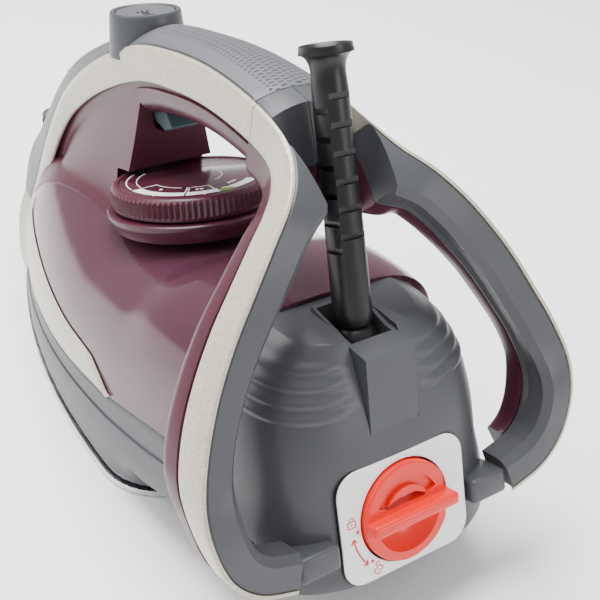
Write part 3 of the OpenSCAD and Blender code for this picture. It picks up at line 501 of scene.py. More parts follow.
def dimpled_pad(name, colour):
    """Soft pad with staggered round dimples that follow its own length and width; the dimple hollows are
    darkened in colour as painted shade.
    """
    mat, n, bsdf = finish(name)
    base = placed(n, GRAIN, **{"Colour": (*colour, 1), "Grain size": 0.3, "Mottle": 0.05, "Roughness": 0.5})
    uv = n.add("UVMap", uv_map="around").outputs[0]
    near = None
    for shift in (0.0, 0.5):
        laid = n.add("Mapping", Vector=uv, Scale=(PAD_ROWS[0], PAD_ROWS[1], 1),
            Location=(shift, shift, 0)).outputs[0]
        part = n.add("VectorMath", operation="FRACTION")
        n.put(part.inputs[0], laid)
        centred = n.add("VectorMath", operation="SUBTRACT")
        n.put(centred.inputs[0], part.outputs[0])
        centred.inputs[1].default_value = (0.5, 0.5, 0.0)
        flat = n.add("VectorMath", operation="MULTIPLY")
        n.put(flat.inputs[0], centred.outputs[0])
        flat.inputs[1].default_value = (1.0, 1.0, 0.0)
        length = n.add("VectorMath", operation="LENGTH")
        n.put(length.inputs[0], flat.outputs[0])
        far = length.outputs["Value"]
        near = far if near is None else n.math("MINIMUM", near, far)
    dimple = n.spread(near, 0.13, 0.24)
    split = n.add("SeparateXYZ")
    n.put(split.inputs[0], uv)
    side = n.math("ABSOLUTE", n.math("SUBTRACT", split.outputs[1], 0.5))
    plain = n.spread(side, PAD_PLAIN - 0.012, PAD_PLAIN)
    dimple = n.math("MAXIMUM", dimple, plain)
    # Painted shade: the dimple hollows fall to 0.34 of the pad colour; the same mask also drives the bump
    # below.
    n.put(bsdf.inputs["Base Color"], n.mix(dimple, (colour[0] * 0.34, colour[1] * 0.34, colour[2] * 0.34,
        1), base.outputs["Colour"]))
    n.put(bsdf.inputs["Roughness"], base.outputs["Roughness"])
    height = n.math("ADD", n.math("MULTIPLY", dimple, 1.0),
        n.math("MULTIPLY", base.outputs["Height"], 0.06))
    bump = n.add("Bump", Height=height, Strength=0.8, Distance=0.5 * MM)
    n.put(bsdf.inputs["Normal"], bump.outputs[0])
    return mat


def pearl_lacquer(name, colour):
    """Warm white lacquer with fine bright flecks under a clear coat."""
    mat, n, bsdf = finish(name)
    where = n.add("TexCoord").outputs["Object"]
    fleck = n.add("TexVoronoi", Vector=where, Scale=2400.0)
    bright = n.spread(fleck.outputs["Color"], 0.55, 1.0)
    cloud = n.add("TexNoise", Vector=where, Scale=900.0, Detail=3.0)
    low = n.mix(n.spread(cloud.outputs[0], 0.35, 0.65),
        (colour[0] * 0.86, colour[1] * 0.85, colour[2] * 0.80, 1), (*colour, 1))
    n.put(bsdf.inputs["Base Color"], n.mix(n.math("MULTIPLY", bright, 0.35), low, (1.0, 0.97, 0.88, 1)))
    n.put(bsdf.inputs["Metallic"], n.math("MULTIPLY", bright, 0.25))
    n.put(bsdf.inputs["Roughness"], n.spread(cloud.outputs[0], 0.3, 0.7, 0.3, 0.42))
    bump = n.add("Bump", Height=fleck.outputs["Distance"], Strength=0.12, Distance=0.03 * MM)
    n.put(bsdf.inputs["Normal"], bump.outputs[0])
    bsdf.inputs["Coat Weight"].default_value = 0.25
    bsdf.inputs["Coat Roughness"].default_value = 0.2
    return mat


def clear_tank(name, colour):
    """Tinted clear plastic with slow flow lines from moulding."""
    mat, n, bsdf = finish(name)
    where = n.add("TexCoord").outputs["Object"]
    flow = n.add("TexNoise", Vector=where, Scale=14.0, Detail=2.0, Distortion=0.6)
    n.put(bsdf.inputs["Base Color"], n.mix(flow.outputs[0], (*[c * 0.9 for c in colour], 1),
        (*[c * 1.1 for c in colour], 1)))
    n.put(bsdf.inputs["Roughness"], n.spread(flow.outputs[0], 0.3, 0.7, 0.10, 0.17))
    bump = n.add("Bump", Height=flow.outputs[0], Strength=0.05, Distance=0.4 * MM)
    n.put(bsdf.inputs["Normal"], bump.outputs[0])
    bsdf.inputs["Transmission Weight"].default_value = 0.7
    bsdf.inputs["Specular IOR Level"].default_value = 0.3
    bsdf.inputs["IOR"].default_value = 1.46
    return mat


def brushed_metal(name, colour, roughness, stretch=(1, 60, 60)):
    mat, n, bsdf = finish(name)
    where = n.add("TexCoord").outputs["Object"]
    laid = n.add("Mapping", Vector=where, Scale=stretch)
    line = n.add("TexNoise", Vector=laid.outputs[0], Scale=60.0, Detail=4.0)
    n.put(bsdf.inputs["Base Color"], n.mix(line.outputs[0], (*[c * 0.9 for c in colour], 1), (*colour, 1)))
    n.put(bsdf.inputs["Roughness"], n.spread(line.outputs[0], 0.3, 0.7, roughness - 0.06, roughness + 0.08))
    n.put(bsdf.inputs["Normal"], n.add("Bump", Height=line.outputs[0], Strength=0.15,
        Distance=0.02 * MM).outputs[0])
    bsdf.inputs["Metallic"].default_value = 1.0
    return mat


PAD_ROWS = (38, 10)
PAD_PLAIN = 0.40

GREY = plastic("grey_moulding", (0.056, 0.058, 0.065), 0.38, depth=0.02, coat=0.04, coat_rough=0.3)
COVER_GREY = plastic("cover_grey", (0.088, 0.090, 0.100), 0.40, depth=0.02, coat=0.04, coat_rough=0.3)
PAD = dimpled_pad("dimpled_grip", (0.092, 0.095, 0.105))
BURGUNDY = plastic("burgundy_moulding", (0.062, 0.013, 0.025), 0.34, depth=0.015, coat=0.05, coat_rough=0.2)
DIAL_FACE = plastic("dial_face", (0.058, 0.011, 0.022), 0.2, depth=0.008, coat=0.3, coat_rough=0.06)
TANK = clear_tank("clear_tank", (0.20, 0.07, 0.115))
PEARL = pearl_lacquer("pearl_lacquer", (0.46, 0.42, 0.335))
BLACK = plastic("black_guard", (0.007, 0.007, 0.008), 0.36, depth=0.03, coat=0.05, coat_rough=0.3)
# Near-black, used as painted shade in the label plate's gap and as the colour of the spray button's printed
# icon.
GAP_SHADE_AND_PRINT = plastic("gap_shade_and_print", (0.012, 0.012, 0.014), 0.6, depth=0.02)
RED = plastic("knob_red", (0.78, 0.010, 0.002), 0.34, depth=0.012, mottle=0.03, coat=0.25, coat_rough=0.12)
WHITE = plastic("plate_white", (0.86, 0.86, 0.85), 0.32, depth=0.01, mottle=0.02, coat=0.1)
PRINT_RED = plastic("red_print", (0.60, 0.045, 0.028), 0.4, depth=0.01)
PRINT_WHITE = plastic("white_print", (0.80, 0.77, 0.78), 0.4, depth=0.01)
TRIGGER_GREY = plastic("trigger_grey", (0.058, 0.083, 0.094), 0.36, depth=0.02)
GREEN = plastic("green_dot", (0.20, 0.27, 0.022), 0.25, depth=0.01, coat=0.3)
STEEL = brushed_metal("sole_steel", (0.70, 0.71, 0.72), 0.24)
BRIGHT = brushed_metal("bright_steel", (0.62, 0.62, 0.63), 0.3, (30, 30, 2))
CAST = brushed_metal("cast_aluminium", (0.5, 0.5, 0.51), 0.5, (8, 8, 8))

# ---------------------------------------------------------------- the arch: cover, pad, door, strips, legs


def steps(a, b, n):
    return [lerp(a, b, i / n) for i in range(n + 1)]


def cover_f(s):
    return 1 - (STRIP_T + 0.15) / arch_point(s).y


def cover_ring(s, width, top, under, n=24):
    """A closed ring across the cover, from one edge over the crown and back below it."""
    w = cover_f(s) * width
    return [cover_point(s, f * w, top) for f in steps(1, -1, n)] + [cover_point(s, f * (w - 0.01),
        under) for f in steps(-1, 1, n)]


def skirt_line():
    """Everything in front of the tank and below the skirt's top edge."""
    return slab([(60, -50)] + [(x, skirt_top(x) + 0.25) for x in steps(60, 200, 14)] + [(200, -50)], -60,
        60,
                matrix=Matrix.Rotation(math.radians(90), 4, "X"))


def selector_gap():
    return lathe([(0, -18), (16.1, -18), (16.1, 30), (0, 30)], 96, ON_SELECTOR)


DOOR = (4.25, 6.1)
cover = cut(
    skin([cover_ring(s, 1, 0, -2.2) for s in steps(0, LEG_START, 120)]),
    skirt_line(),
    selector_gap(),
    skin([cover_ring(s, 0.58, 8, -9, 8) for s in steps(DOOR[0] - 0.03, DOOR[1] + 0.03, 20)]),
    lathe([(0, -12), (5.3, -12), (5.3, 12), (0, 12)], 48, place(Vector((133, 0, 72)), 60)),
)
soften(piece("arch_cover", cover, "root", COVER_GREY, "handle_shell", slot="light_grey_plastic"), 0.35)

pad = cut(skin([cover_ring(s, 0.985, 0.75 if 7.2 < s < 9.98 else 0.15, 0.05,
    24) for s in [7.12] + steps(7.2, 9.98, 60) + [10.0]]),
          lathe([(0, -30), (16.9, -30), (16.9, 30), (0, 30)], 96, ON_SELECTOR))
piece("grip_pad_dimpled", pad, "root", PAD, "grip_pad", slot="soft_grip", angle=40)

door = skin([cover_ring(s, 0.555, 0.15, -2, 12) for s in steps(DOOR[0] + 0.02, DOOR[1] - 0.02, 20)])
knuckle = block(-1.6, -4.5, -1.4, 1.6, 4.5, 1.4, 1.0, Matrix.Translation((93.0, 0, 112.35)))
soften(piece("filling_door", joined(door, knuckle), "door", COVER_GREY, "fill_door",
    slot="light_grey_plastic"), 0.4)


def apart(s):
    return ease((s - LEG_START) / 3.4)


def reach(s):
    return lerp(arch_point(s).y + 2, 13, apart(s))


def strip_section(s):
    w = profile(STRIP_W, s)
    f = 1 - STRIP_T / arch_point(s).y
    lift = crest(s) * (1 - f * f) * (1 - apart(s))
    return [(STRIP_T, -lift), (0.5, 0.02 - lift * 0.2), (0.14, 0.3), (0, 0.9), (0, w * 0.5), (0, w - 1.2),
        (0.12, w - 0.5), (0.45, w - 0.1), (STRIP_T, w)]


def leg_section(s):
    """The grey part of a leg: rear face, a bevel on the inner edge and a shallow inner channel."""
    r, k, y = reach(s), apart(s), arch_point(s).y
    c = 2.6 * k + 0.02
    hollow = 1.1 * k * clamp((21.6 - s) / 1.5)
    ring = [(1.6, 1.1), (1.75, 0.4), (2.3, 0.05)] + [(lerp(2.3, r - c, t), 0.0) for t in (0.25, 0.5, 0.75,
        1.0)]
    ring += [(r, c), (r - hollow * 0.2, c + 0.9), (r - hollow, c + 2.4), (r - hollow, 10.4),
        (r - hollow * 0.2, 11.8), (r - 0.3, 12.7),
             (r - 0.8, 13.0), (lerp(1.6, r, 0.5), 13.0), (1.6, 13.0), (1.6, 7.0)]
    return [(a, d - (1 - k) * crest(s) * (1 - (1 - min(a / y, 1)) ** 2) * clamp((9 - d) / 6)) for a,
        d in ring]


def liner_section(s):
    r, d1 = reach(s), lerp(25.6, 21.8, apart(s))
    return [(0.25, 14.2), (0.3, 13.5), (0.9, 13.3), (lerp(1, r, 0.5), 13.3), (r - 0.3, 13.3), (r, 14.0),
        (r, d1 - 2), (r - 0.6, d1 - 0.6), (r - 2, d1),
            (lerp(1, r, 0.5), d1 + 0.1), (2.6, d1), (1.1, d1 - 0.7), (0.35, d1 - 2.2), (0.25, d1 - 3.5)]


def kept_left(ring):
    """Points past the middle plane are brought back to it."""
    return [Vector((p.x, max(p.y, 0.12), p.z)) for p in ring]


def guard_sweep():
    """Room between the legs for the cord guard, over its whole tilt and lean."""
    fan = [(-7.2, 0), (7.2, 0), (19.5, 100), (-19.5, 100)]
    turn = Matrix.Translation(BALL) @ Matrix.Rotation(math.radians(GUARD_TILT + 4), 4,
        "Y") @ Matrix.Rotation(math.radians(90), 4, "Z") @ Matrix.Rotation(math.radians(90), 4, "X")
    return slab(fan, -60, 7.2, matrix=turn)


def both_sides(name, build, finish, slot, left, right, width=0.0, angle=32):
    for side, node, flip in (("left", left, False), ("right", right, True)):
        bm = build()
        obj = piece(name + "_" + side, mirrored(bm) if flip else bm, "root", finish, *node, slot=slot,
            angle=angle)
        if width:
            soften(obj, width)


both_sides("pearl_strip_front", lambda: cut(skin([arch_ring(s, strip_section(s)) for s in steps(0, 10.06,
    150)]), skirt_line()),
           PEARL, "pearl_plastic", (), ())
both_sides("pearl_strip_rear", lambda: skin([arch_ring(s, strip_section(s)) for s in steps(10.075, FOOT,
    150)]),
           PEARL, "pearl_plastic", ("left_strip",), ("right_strip",))
both_sides("leg", lambda: cut(skin([kept_left(arch_ring(s, leg_section(s))) for s in steps(LEG_START,
    FOOT, 120)]), guard_sweep()),
           GREY, "grey_plastic", ("left_leg",), ("right_leg",), 0.3, 28)
both_sides("leg_liner", lambda: cut(skin([kept_left(arch_ring(s,
    liner_section(s))) for s in steps(LEG_START, 22.2, 120)]), guard_sweep()),
           BURGUNDY, "burgundy_plastic", ("left_liner",), ("right_liner",))


def blade_ring(x):
    """A station of the pearl blade over the skirt, crowned between its two edges."""
    z0 = skirt_top(x) + 0.5
    z1 = max(profile(BLADE_TOP, x), z0 + 0.3)
    ts = steps(0, 1, 10)
    out = [Vector((x, tank_y(min(x, 92.5), z) + 0.45 + 1.15 * (1 - abs(2 * t - 1) ** 4) + 0.1, z)) for t,
        z in ((t, lerp(z0, z1, t)) for t in ts)]
    back = [Vector((x, tank_y(min(x, 92.5), z) + 0.4, z)) for z in (lerp(z1, z0, t) for t in ts)]
    return out + back


both_sides("pearl_blade", lambda: skin([blade_ring(x) for x in steps(101, -41, 90)]),
           PEARL, "pearl_plastic", ("left_hook_trim",), ("right_hook_trim",), 0, 40)

# ---------------------------------------------------------------- grip underside, pillar and trigger


def belly_ring(s):
    p, inward, _ = arch_frame(s)
    n = Vector((inward.x, 0, inward.z)).normalized()
    y, d = p.y - STRIP_T - 0.25, 26.0
    at = lambda a, q: Vector((p.x, a, p.z)) + n * (d * q)
    half = [at(y, 0.1), at(y, 0.3), at(y, 0.55)]
    half += [at((y + STRIP_T) * math.cos(math.radians(a)) ** 0.8,
        0.565 + 0.435 * math.sin(math.radians(a)) ** 0.8) for a in range(0, 90, 9)]
    return half + [at(0, 1.0)] + [Vector((v.x, -v.y, v.z)) for v in reversed(half)]


def trigger_recess():
    return block(-12, -7.6, 116, 30, 7.6, 140, 5.5, segments=6)


piece("grip_underside", cut(skin([belly_ring(s) for s in steps(6.9, LEG_START, 60)]), trigger_recess(),
    selector_gap()),
      "root", BURGUNDY, "handle_belly", slot="burgundy_plastic", angle=35)


def arch_step_at(x):
    low, high = 2.0, 8.5
    for _ in range(30):
        mid = (low + high) / 2
        low, high = (mid, high) if arch_point(mid).x > x else (low, mid)
    return (low + high) / 2


def pillar_ring(x):
    """A station of the pillar: its sides sweep in from the tank's hull to the arch's edge."""
    s = arch_step_at(x)
    p, inward, _ = arch_frame(s)
    under = p + inward * 2.7
    yt, zt = p.y - STRIP_T - 0.65, p.z - 2.7 / abs(inward.z)
    yf = max(min(tank_w(x) * 0.86, 27), yt + 0.5)
    zf = tank_z(x, yf) + 0.4
    zs = max(zt - 1.15 * profile(STRIP_W, s) / abs(inward.z), lerp(zf, zt, 0.2))
    half = []
    for t in steps(0, 1, 26):
        z = lerp(zf, zt, t)
        y = lerp(yf, yt, min((z - zf) / (zs - zf), 1) ** 0.55)
        half.append(Vector((x, y, max(z, tank_z(x, y) + 0.4))))
    low = [Vector((x, a, zf - 5)) for a in (-yf * 0.98, 0, yf * 0.98)]
    return half + [Vector((v.x, -v.y, v.z)) for v in reversed(half)] + low


DIAL_SLOT = lathe([(0, -18.3), (36.2, -18.3), (36.2, -9.8), (34.2, -9.6), (34.2, 1.6), (33.4, 2.2),
    (0, 2.2)], 128, ON_DIAL)
piece("pillar", cut(skin([pillar_ring(x) for x in steps(10, 93, 76)]), DIAL_SLOT, trigger_recess(),
    selector_gap()),
      "root", BURGUNDY, "front_pillar", slot="burgundy_plastic", angle=30)

trigger = slab([(0, -1.2), (-4, 3), (-21.5, 3), (-30, -5.5), (-24.6, -8.5), (-12, -6)][::-1], -6.5, 6.5,
               matrix=Matrix.Translation(TRIGGER) @ Matrix.Rotation(math.radians(90), 4, "X"))
trigger = cut(trigger, block(20.5, -2.9, 118, 30, 2.9, 140))
soften(piece("boost_trigger_cap", trigger, "trigger", TRIGGER_GREY, "boost_trigger",
    slot="trigger_plastic"), 0.9, 4)

# ---------------------------------------------------------------- tank and skirt


def tank_ring(x, inset=0.0, n=60):
    w, z0, z1, e = tank_w(x) - inset, tank_floor(x) + inset, tank_top(x) - inset, 2 / tank_n(x)
    turn = [math.pi * i / n for i in range(n + 1)]
    ring = [Vector((x, w * spow(math.cos(a), e), z0 + (z1 - z0) * spow(math.sin(a), e))) for a in turn]
    return ring + [Vector((x, -w * f, z0)) for f in (0.98, 0.5, 0, -0.5, -0.98)]


def tank_skin(inset):
    front, rear = 92.5 - 2 * inset, -100 + inset
    return skin([tank_ring(lerp(rear, front, 1 - (1 - t) ** 1.3), inset) for t in steps(0, 1, 80)])


piece("tank_shell", cut(tank_skin(0), tank_skin(2.2)), "root", TANK, "water_tank", slot="tank_plastic",
    angle=40)


def skirt_ring(x):
    w = max(plan_w(x) - 0.6, 0.6)
    w0 = min(w, sole_w(max(x, SOLE_REAR + 8)) - 0.8)
    wt = max(w - 3, 0.5)
    z0, z1 = 4.2 + 10 * ease((SOLE_REAR + 6 - x) / 34), skirt_top(x)
    half = []
    for t in (0, 0.03, 0.08, 0.16, 0.25, 0.35, 0.45, 0.55, 0.65, 0.72, 0.735, 0.765, 0.78, 0.86, 0.93,
        0.97, 1.0):
        y = lerp(w0, w, ease(t / 0.4)) if t < 0.4 else lerp(w, wt + 0.6, ease((t - 0.45) / 0.6))
        groove = 0.7 if 0.73 < t < 0.77 and x < 120 else 0.0
        half.append(Vector((x, max(y - groove - (0.5 if t == 1.0 or t == 0 else 0), 0.3), lerp(z0, z1, t))))
    return half + [Vector((v.x, -v.y, v.z)) for v in reversed(half)]


skirt = skin([skirt_ring(lerp(-100, 164.5, 1 - (1 - t) ** 1.5)) for t in steps(0, 1, 110)])
piece("skirt_band", skirt, "root", GREY, "skirt", slot="grey_plastic", angle=30)

# ---------------------------------------------------------------- heel


def heel_back(z):
    if z < 27:
        return face_x(27) + 44 * (1 - math.sqrt(max(1 - ((27 - z) / 14) ** 2, 0)))
    return face_x(z) + (0.006 * (z - 62) ** 2 if z > 62 else 0)


def heel_half(z):
    f = max((z - 28) / 75, 0)
    base = lerp(plan_w(-100) - 1.4, tank_w(-100) * 0.985, ease((z - 38) / 16))
    return base * max(1 - f ** 3.2, 0) ** (1 / 3.2) * (1 - 0.1 * (max(27 - z, 0) / 14) ** 2)


def rib(z):
    t = ((z - 80) / 4.25) % 1
    return 0.9 * (0.5 - 0.5 * math.cos(math.tau * t)) if 80 < z < 97 else 0.0


def heel_ring(z):
    w, back, front = heel_half(z), heel_back(z), -100.25
    ring = []
    for k in range(91):
        a = math.radians(2 * k)
        y, deep = w * spow(math.cos(a), 0.62), math.sin(a) ** 0.62
        out = rib(z) * ease((abs(y) - 12) / 8)
        ring.append(Vector((front - (front - back) * deep - out * deep,
            y + math.copysign(out * (1 - deep * 0.4), y), z)))
    return ring


def rounded_outline(w, h, r, n=12):
    pts = []
    for cx, cy, a0 in ((w / 2 - r, h / 2 - r, 0), (-w / 2 + r, h / 2 - r, 90),
        (-w / 2 + r, -h / 2 + r, 180), (w / 2 - r, -h / 2 + r, 270)):
        pts += [(cx + r * math.cos(math.radians(a0 + 90 * i / n)),
            cy + r * math.sin(math.radians(a0 + 90 * i / n))) for i in range(n + 1)]
    return pts


OUTLET = [(face_x(72) + 1, 72), (face_x(98.5) - 0.6, 98.5), (BALL.x - 4.3, 98.5), (BALL.x + 12.8, 101.5),
    (BALL.x + 12.8, 82), (face_x(72) + 9, 72)]
low_levels = [13 + 14 * t for t in (0, 0.03, 0.08, 0.15, 0.25, 0.37, 0.5, 0.65, 0.8)]
brow_levels = [97.6, 98.3, 98.9, 99.4, 99.75, 100]
heel_levels = low_levels + steps(27, 79.5, 24) + steps(80, 97, 68) + brow_levels
heel = cut(
    skin([heel_ring(z) for z in heel_levels]),
    slab([(x, -z) for x, z in OUTLET][::-1], -10, 10, matrix=Matrix.Rotation(math.radians(-90), 4, "X")),
    block(BALL.x - 23, -10, 94, BALL.x + 12.8, 10, 114),
    slab(rounded_outline(PLATE_W + 0.7, PLATE_H + 0.7, 8.3), -1.5, 20, matrix=ON_PLATE),
    lathe([(0, -40), (20.7, -40), (20.7, 20), (0, 20)], 96, ON_PLATE),
)
lugs = []
for side in (1, -1):
    y0, y1 = sorted((28 * side, 43.4 * side))
    at = Matrix.Translation((-156.4, 0, 37)) @ Matrix.Rotation(math.radians(PLATE_TILT), 4, "Y")
    lugs.append(block(0, y0, 0, 14, y1, 9, 1.6, at))
soften(piece("heel_shell", joined(heel, *lugs), "root", GREY, "heel_cover", slot="grey_plastic",
    angle=40), 0.4, 2, 50)
refined("cord_outlet", "root", GREY, 0.9, 25, "grey_plastic")
refined("collector_socket", "root", GREY, 0.3)

# ---------------------------------------------------------------- label plate and knob

plate = cut(slab(rounded_outline(PLATE_W, PLATE_H, 8), -1.4, 0.0, 0.35, ON_PLATE),
    lathe([(0, -5), (18.3, -5), (18.3, 5), (0, 5)], 96, ON_PLATE))
piece("label_plate_white", plate, "root", WHITE, "label_plate", slot="white_plastic")
# A near-black ring sunk in the gap around the label plate: painted shade where the recess falls dark.
gap = cut(slab(rounded_outline(PLATE_W + 0.6, PLATE_H + 0.6, 8.2), -1.45, -0.5, 0, ON_PLATE),
    slab(rounded_outline(PLATE_W - 0.2, PLATE_H - 0.2, 7.9), -3, 3, 0, ON_PLATE))
piece("plate_gap", gap, "root", GAP_SHADE_AND_PRINT)


def band(r0, r1, a0, a1, z0, z1, n=24):
    """A flat arc between two radii and two angles in degrees."""
    turn = [math.radians(a) for a in steps(a0, a1, n)]
    return slab([(r1 * math.cos(a), r1 * math.sin(a)) for a in turn] + [(r0 * math.cos(a),
        r0 * math.sin(a)) for a in reversed(turn)], z0, z1)


def spot(x, y, r, z0, z1):
    return slab([(x + r * math.cos(math.tau * i / 20),
        y + r * math.sin(math.tau * i / 20)) for i in range(20)], z0, z1)


def stroke(x0, y0, x1, y1, w, z0, z1):
    d = Vector((x1 - x0, y1 - y0)).normalized() * w / 2
    return slab([(x0 + d.y, y0 - d.x), (x1 + d.y, y1 - d.x), (x1 - d.y, y1 + d.x), (x0 - d.y, y0 + d.x)],
        z0, z1)


PLATE_PRINT = (0.0, 0.06)


def padlock(x, y, size, turned, shackle_open):
    """A small printed padlock: a frame, a keyhole dot and a shackle."""
    z0, z1, h, k = *PLATE_PRINT, size / 2, size * 0.13
    bits = [stroke(-h, -h, h, -h, k, z0, z1), stroke(-h, h * 0.5, h, h * 0.5, k, z0, z1),
        stroke(-h, -h, -h, h * 0.5, k, z0, z1),
            stroke(h, -h, h, h * 0.5, k, z0, z1), spot(0, -h * 0.25, size * 0.11, z0, z1)]
    arch = band(size * 0.24, size * 0.37, 0, 180, z0, z1, 12)
    bmesh.ops.translate(arch, vec=(h * 0.9 if shackle_open else 0, h * 0.75, 0), verts=arch.verts)
    bm = joined(*bits, arch)
    bmesh.ops.transform(bm, matrix=Matrix.Translation((x, y, 0)) @ Matrix.Rotation(math.radians(turned),
        4, "Z"), verts=bm.verts)
    return bm


marks = [band(21.4, 22.0, 187, 219, *PLATE_PRINT, 20), spot(-19.6, -0.6, 0.62, *PLATE_PRINT),
    spot(-15.0, -13.2, 0.62, *PLATE_PRINT),
         padlock(-21.6, 3.2, 3.0, 0, False), padlock(-13.2, -16.9, 3.0, 42, True)]
for angle, turn in ((187, 1), (219, -1)):
    a = math.radians(angle)
    tip = Vector((21.7 * math.cos(a), 21.7 * math.sin(a)))
    for lean in (35, -35):
        d = Matrix.Rotation(a + math.radians(90 * turn + lean), 2) @ Vector((1.9, 0))
        marks.append(stroke(tip.x, tip.y, tip.x + d.x, tip.y + d.y, 0.55, *PLATE_PRINT))
marks = joined(*marks)
bmesh.ops.transform(marks, matrix=ON_PLATE, verts=marks.verts)
piece("plate_marks", marks, "root", PRINT_RED)

knob = lathe([(0, -8.7), (17.2, -8.7), (17.5, -8.3), (17.5, 1.2), (17.3, 1.9), (16.8, 2.25), (0, 2.25)],
    128)
lower_bowl = lathe([(0, -6.1), (6, -5.4), (10.4, -2.6), (13.6, 2.3), (13.8, 6), (0, 6)], 96)
bmesh.ops.transform(lower_bowl, matrix=Matrix.Translation((0, -2.5, 1.5)) @ Matrix.Diagonal((1, 0.92, 0.9,
    1)), verts=lower_bowl.verts)
lower_half = block(-20, -20, -20, 20, -3.0, 20)
knob = cut(knob, band(9.2, 13.0, 24, 156, 0.6, 8, 40), cut(lower_bowl, lower_half, keep="INTERSECT"),
           block(15.2, -12, -12, 20, 12, 8), slab([(-10.4, 3.3), (-6.5, 5.6), (-1.5, 6.6), (3.4, 6.2),
               (7.2, 4.4), (7.2, 3.3)], -12, 8))
bar = block(-17.2, -2.5, -4, 18.2, 2.1, 7.1, 1.5, segments=5)
knob = joined(knob, bar, lathe([(0, -8.7), (14.9, -8.7), (14.9, -6.2), (0, -6.2)], 64))
bmesh.ops.transform(knob, matrix=ON_PLATE, verts=knob.verts)
soften(piece("collector_key_red", knob, "collector_key", RED, "collector_knob", slot="red_plastic"), 0.5,
    3, 40)
core = slab([(-11, 3.0), (-6.8, 6.0), (-1.5, 7.1), (3.8, 6.6), (8, 4.6), (8, 3.0)], -6.0, -2.2)
bmesh.ops.transform(core, matrix=ON_PLATE, verts=core.verts)
piece("knob_core_white", core, "collector_key", WHITE)

# ---------------------------------------------------------------- temperature dial

KNURLS = 92
DISC_TOP = -0.22
DISC_PRINT = (DISC_TOP, DISC_TOP + 0.07)


def dial_ring(z, r, depth):
    ring, per_knurl = [], 6
    for i in range(KNURLS * per_knurl):
        tooth = r - depth * 2 * abs(i / per_knurl % 1 - 0.5)
        turn = math.tau * i / (KNURLS * per_knurl)
        ring.append(ON_DIAL @ Vector((tooth * math.cos(turn), tooth * math.sin(turn), z)))
    return ring


rim = [(-9.0, 31.6, 0), (-8.7, 32.2, 0), (-7.6, 32.4, 0), (-7.3, 32.9, 0.9), (-1.9, 32.9, 0.9),
    (-1.5, 32.3, 0.2), (-0.9, 31.9, 0), (-0.3, 31.2, 0), (0, 30.4, 0), (-0.02, 29.4, 0), (-0.5, 29.2, 0)]
dial = joined(skin([dial_ring(z, r, d) for z, r, d in rim]))
soften(piece("dial_knurled", dial, "dial", BURGUNDY, "thermostat_dial", slot="burgundy_plastic",
    angle=50), 0.0001)
face = lathe([(0, -0.22), (28.7, -0.22), (29.0, -0.4), (29.0, -1.2), (0, -1.2)], 128, ON_DIAL)
piece("dial_disc", face, "dial", DIAL_FACE)
prints = [band(25.9, 26.4, 36, 87, *DISC_PRINT, 30), band(22.0, 22.4, 32, 87, *DISC_PRINT, 30),
          band(22.6, 26.6, 90, 143.5, *DISC_PRINT, 40), band(22.6, 26.6, 145, 174, *DISC_PRINT, 30),
          band(22.6, 26.6, 187, 216, *DISC_PRINT, 30), band(15.8, 16.2, 88, 135, *DISC_PRINT,
              30), band(15.8, 16.2, 148, 172, *DISC_PRINT, 30),
          band(11.0, 11.3, 200, 300, *DISC_PRINT, 30)]
for a in (90, 143.2, 146, 172):
    t = math.radians(a)
    prints.append(stroke(15.8 * math.cos(t), 15.8 * math.sin(t), 22.8 * math.cos(t), 22.8 * math.sin(t),
        0.4, *DISC_PRINT))
for a, count in ((112, 1), (158, 2), (200, 3)):
    for k in range(count):
        t = math.radians(a + 5 * (k - (count - 1) / 2))
        prints.append(spot(19.4 * math.cos(t), 19.4 * math.sin(t), 0.75, *DISC_PRINT))
for a in (118, 160):
    t = math.radians(a)
    prints.append(slab([(26.4 * math.cos(t - 0.03), 26.4 * math.sin(t - 0.03)),
        (27.6 * math.cos(t), 27.6 * math.sin(t)), (26.4 * math.cos(t + 0.03),
        26.4 * math.sin(t + 0.03))], *DISC_PRINT))
prints = joined(*prints)
bmesh.ops.transform(prints, matrix=ON_DIAL, verts=prints.verts)
piece("dial_marks", prints, "dial", PRINT_WHITE)
dot = lathe([(0, 0.25), (1.8, 0.2), (2.5, 0.0), (2.6, -0.25), (0, -0.25)], 48)
bmesh.ops.transform(dot, matrix=ON_DIAL @ Matrix.Translation((-25.3, -0.3, 0)), verts=dot.verts)
piece("dial_dot", dot, "dial", GREEN, "dial_mark", slot="green_mark")
collar = lathe([(0, -17.4), (31.6, -17.4), (32.4, -17), (33.6, -13.6), (34.6, -12.6), (35.1, -11.4),
    (35.0, -10.2), (34.4, -9.75), (0, -9.75)], 128, ON_DIAL)
piece("dial_base", collar, "root", BURGUNDY, "dial_collar", slot="burgundy_plastic")

# ---------------------------------------------------------------- steam selector and spray button

selector = lathe([(6, -17), (15.0, -17), (15.4, -16.6), (13.95, -1.2), (13.8, -0.5), (13.45, -0.1),
    (12.9, 0), (12.3, -0.15), (11.9, -0.5), (11.75, -1.2), (11.7, -5.4), (6, -5.4)], 128, ON_SELECTOR)
piece("selector_body", selector, "selector", GREY, "steam_selector", slot="grey_plastic")
button = lathe([(0, -1.75), (3, -1.68), (6, -1.45), (9, -1.0), (10.8, -0.55), (11.3, -0.5), (11.5, -0.8),
    (11.55, -3.1), (0, -3.1)], 96, ON_SELECTOR)
piece("spray_button_cap", button, "button", COVER_GREY, "spray_button", slot="light_grey_plastic")
icon = joined(stroke(-3.6, -2.2, -3.6, 2.2, 0.7, -1.6, -1.5),
    stroke(-1.6, -1, -0.2, 1.6, 0.6, -1.6, -1.5), stroke(0.8, -2, 2.2, 0.6, 0.6, -1.6, -1.5),
              spot(3.6, 1.6, 0.6, -1.6, -1.45), spot(4.2, -0.6, 0.6, -1.6, -1.45), spot(3.6, -2.6, 0.6,
                  -1.6, -1.4))
bmesh.ops.transform(icon, matrix=ON_SELECTOR, verts=icon.verts)
piece("spray_icon", icon, "button", GAP_SHADE_AND_PRINT)

# ---------------------------------------------------------------- guard, sole and hidden parts

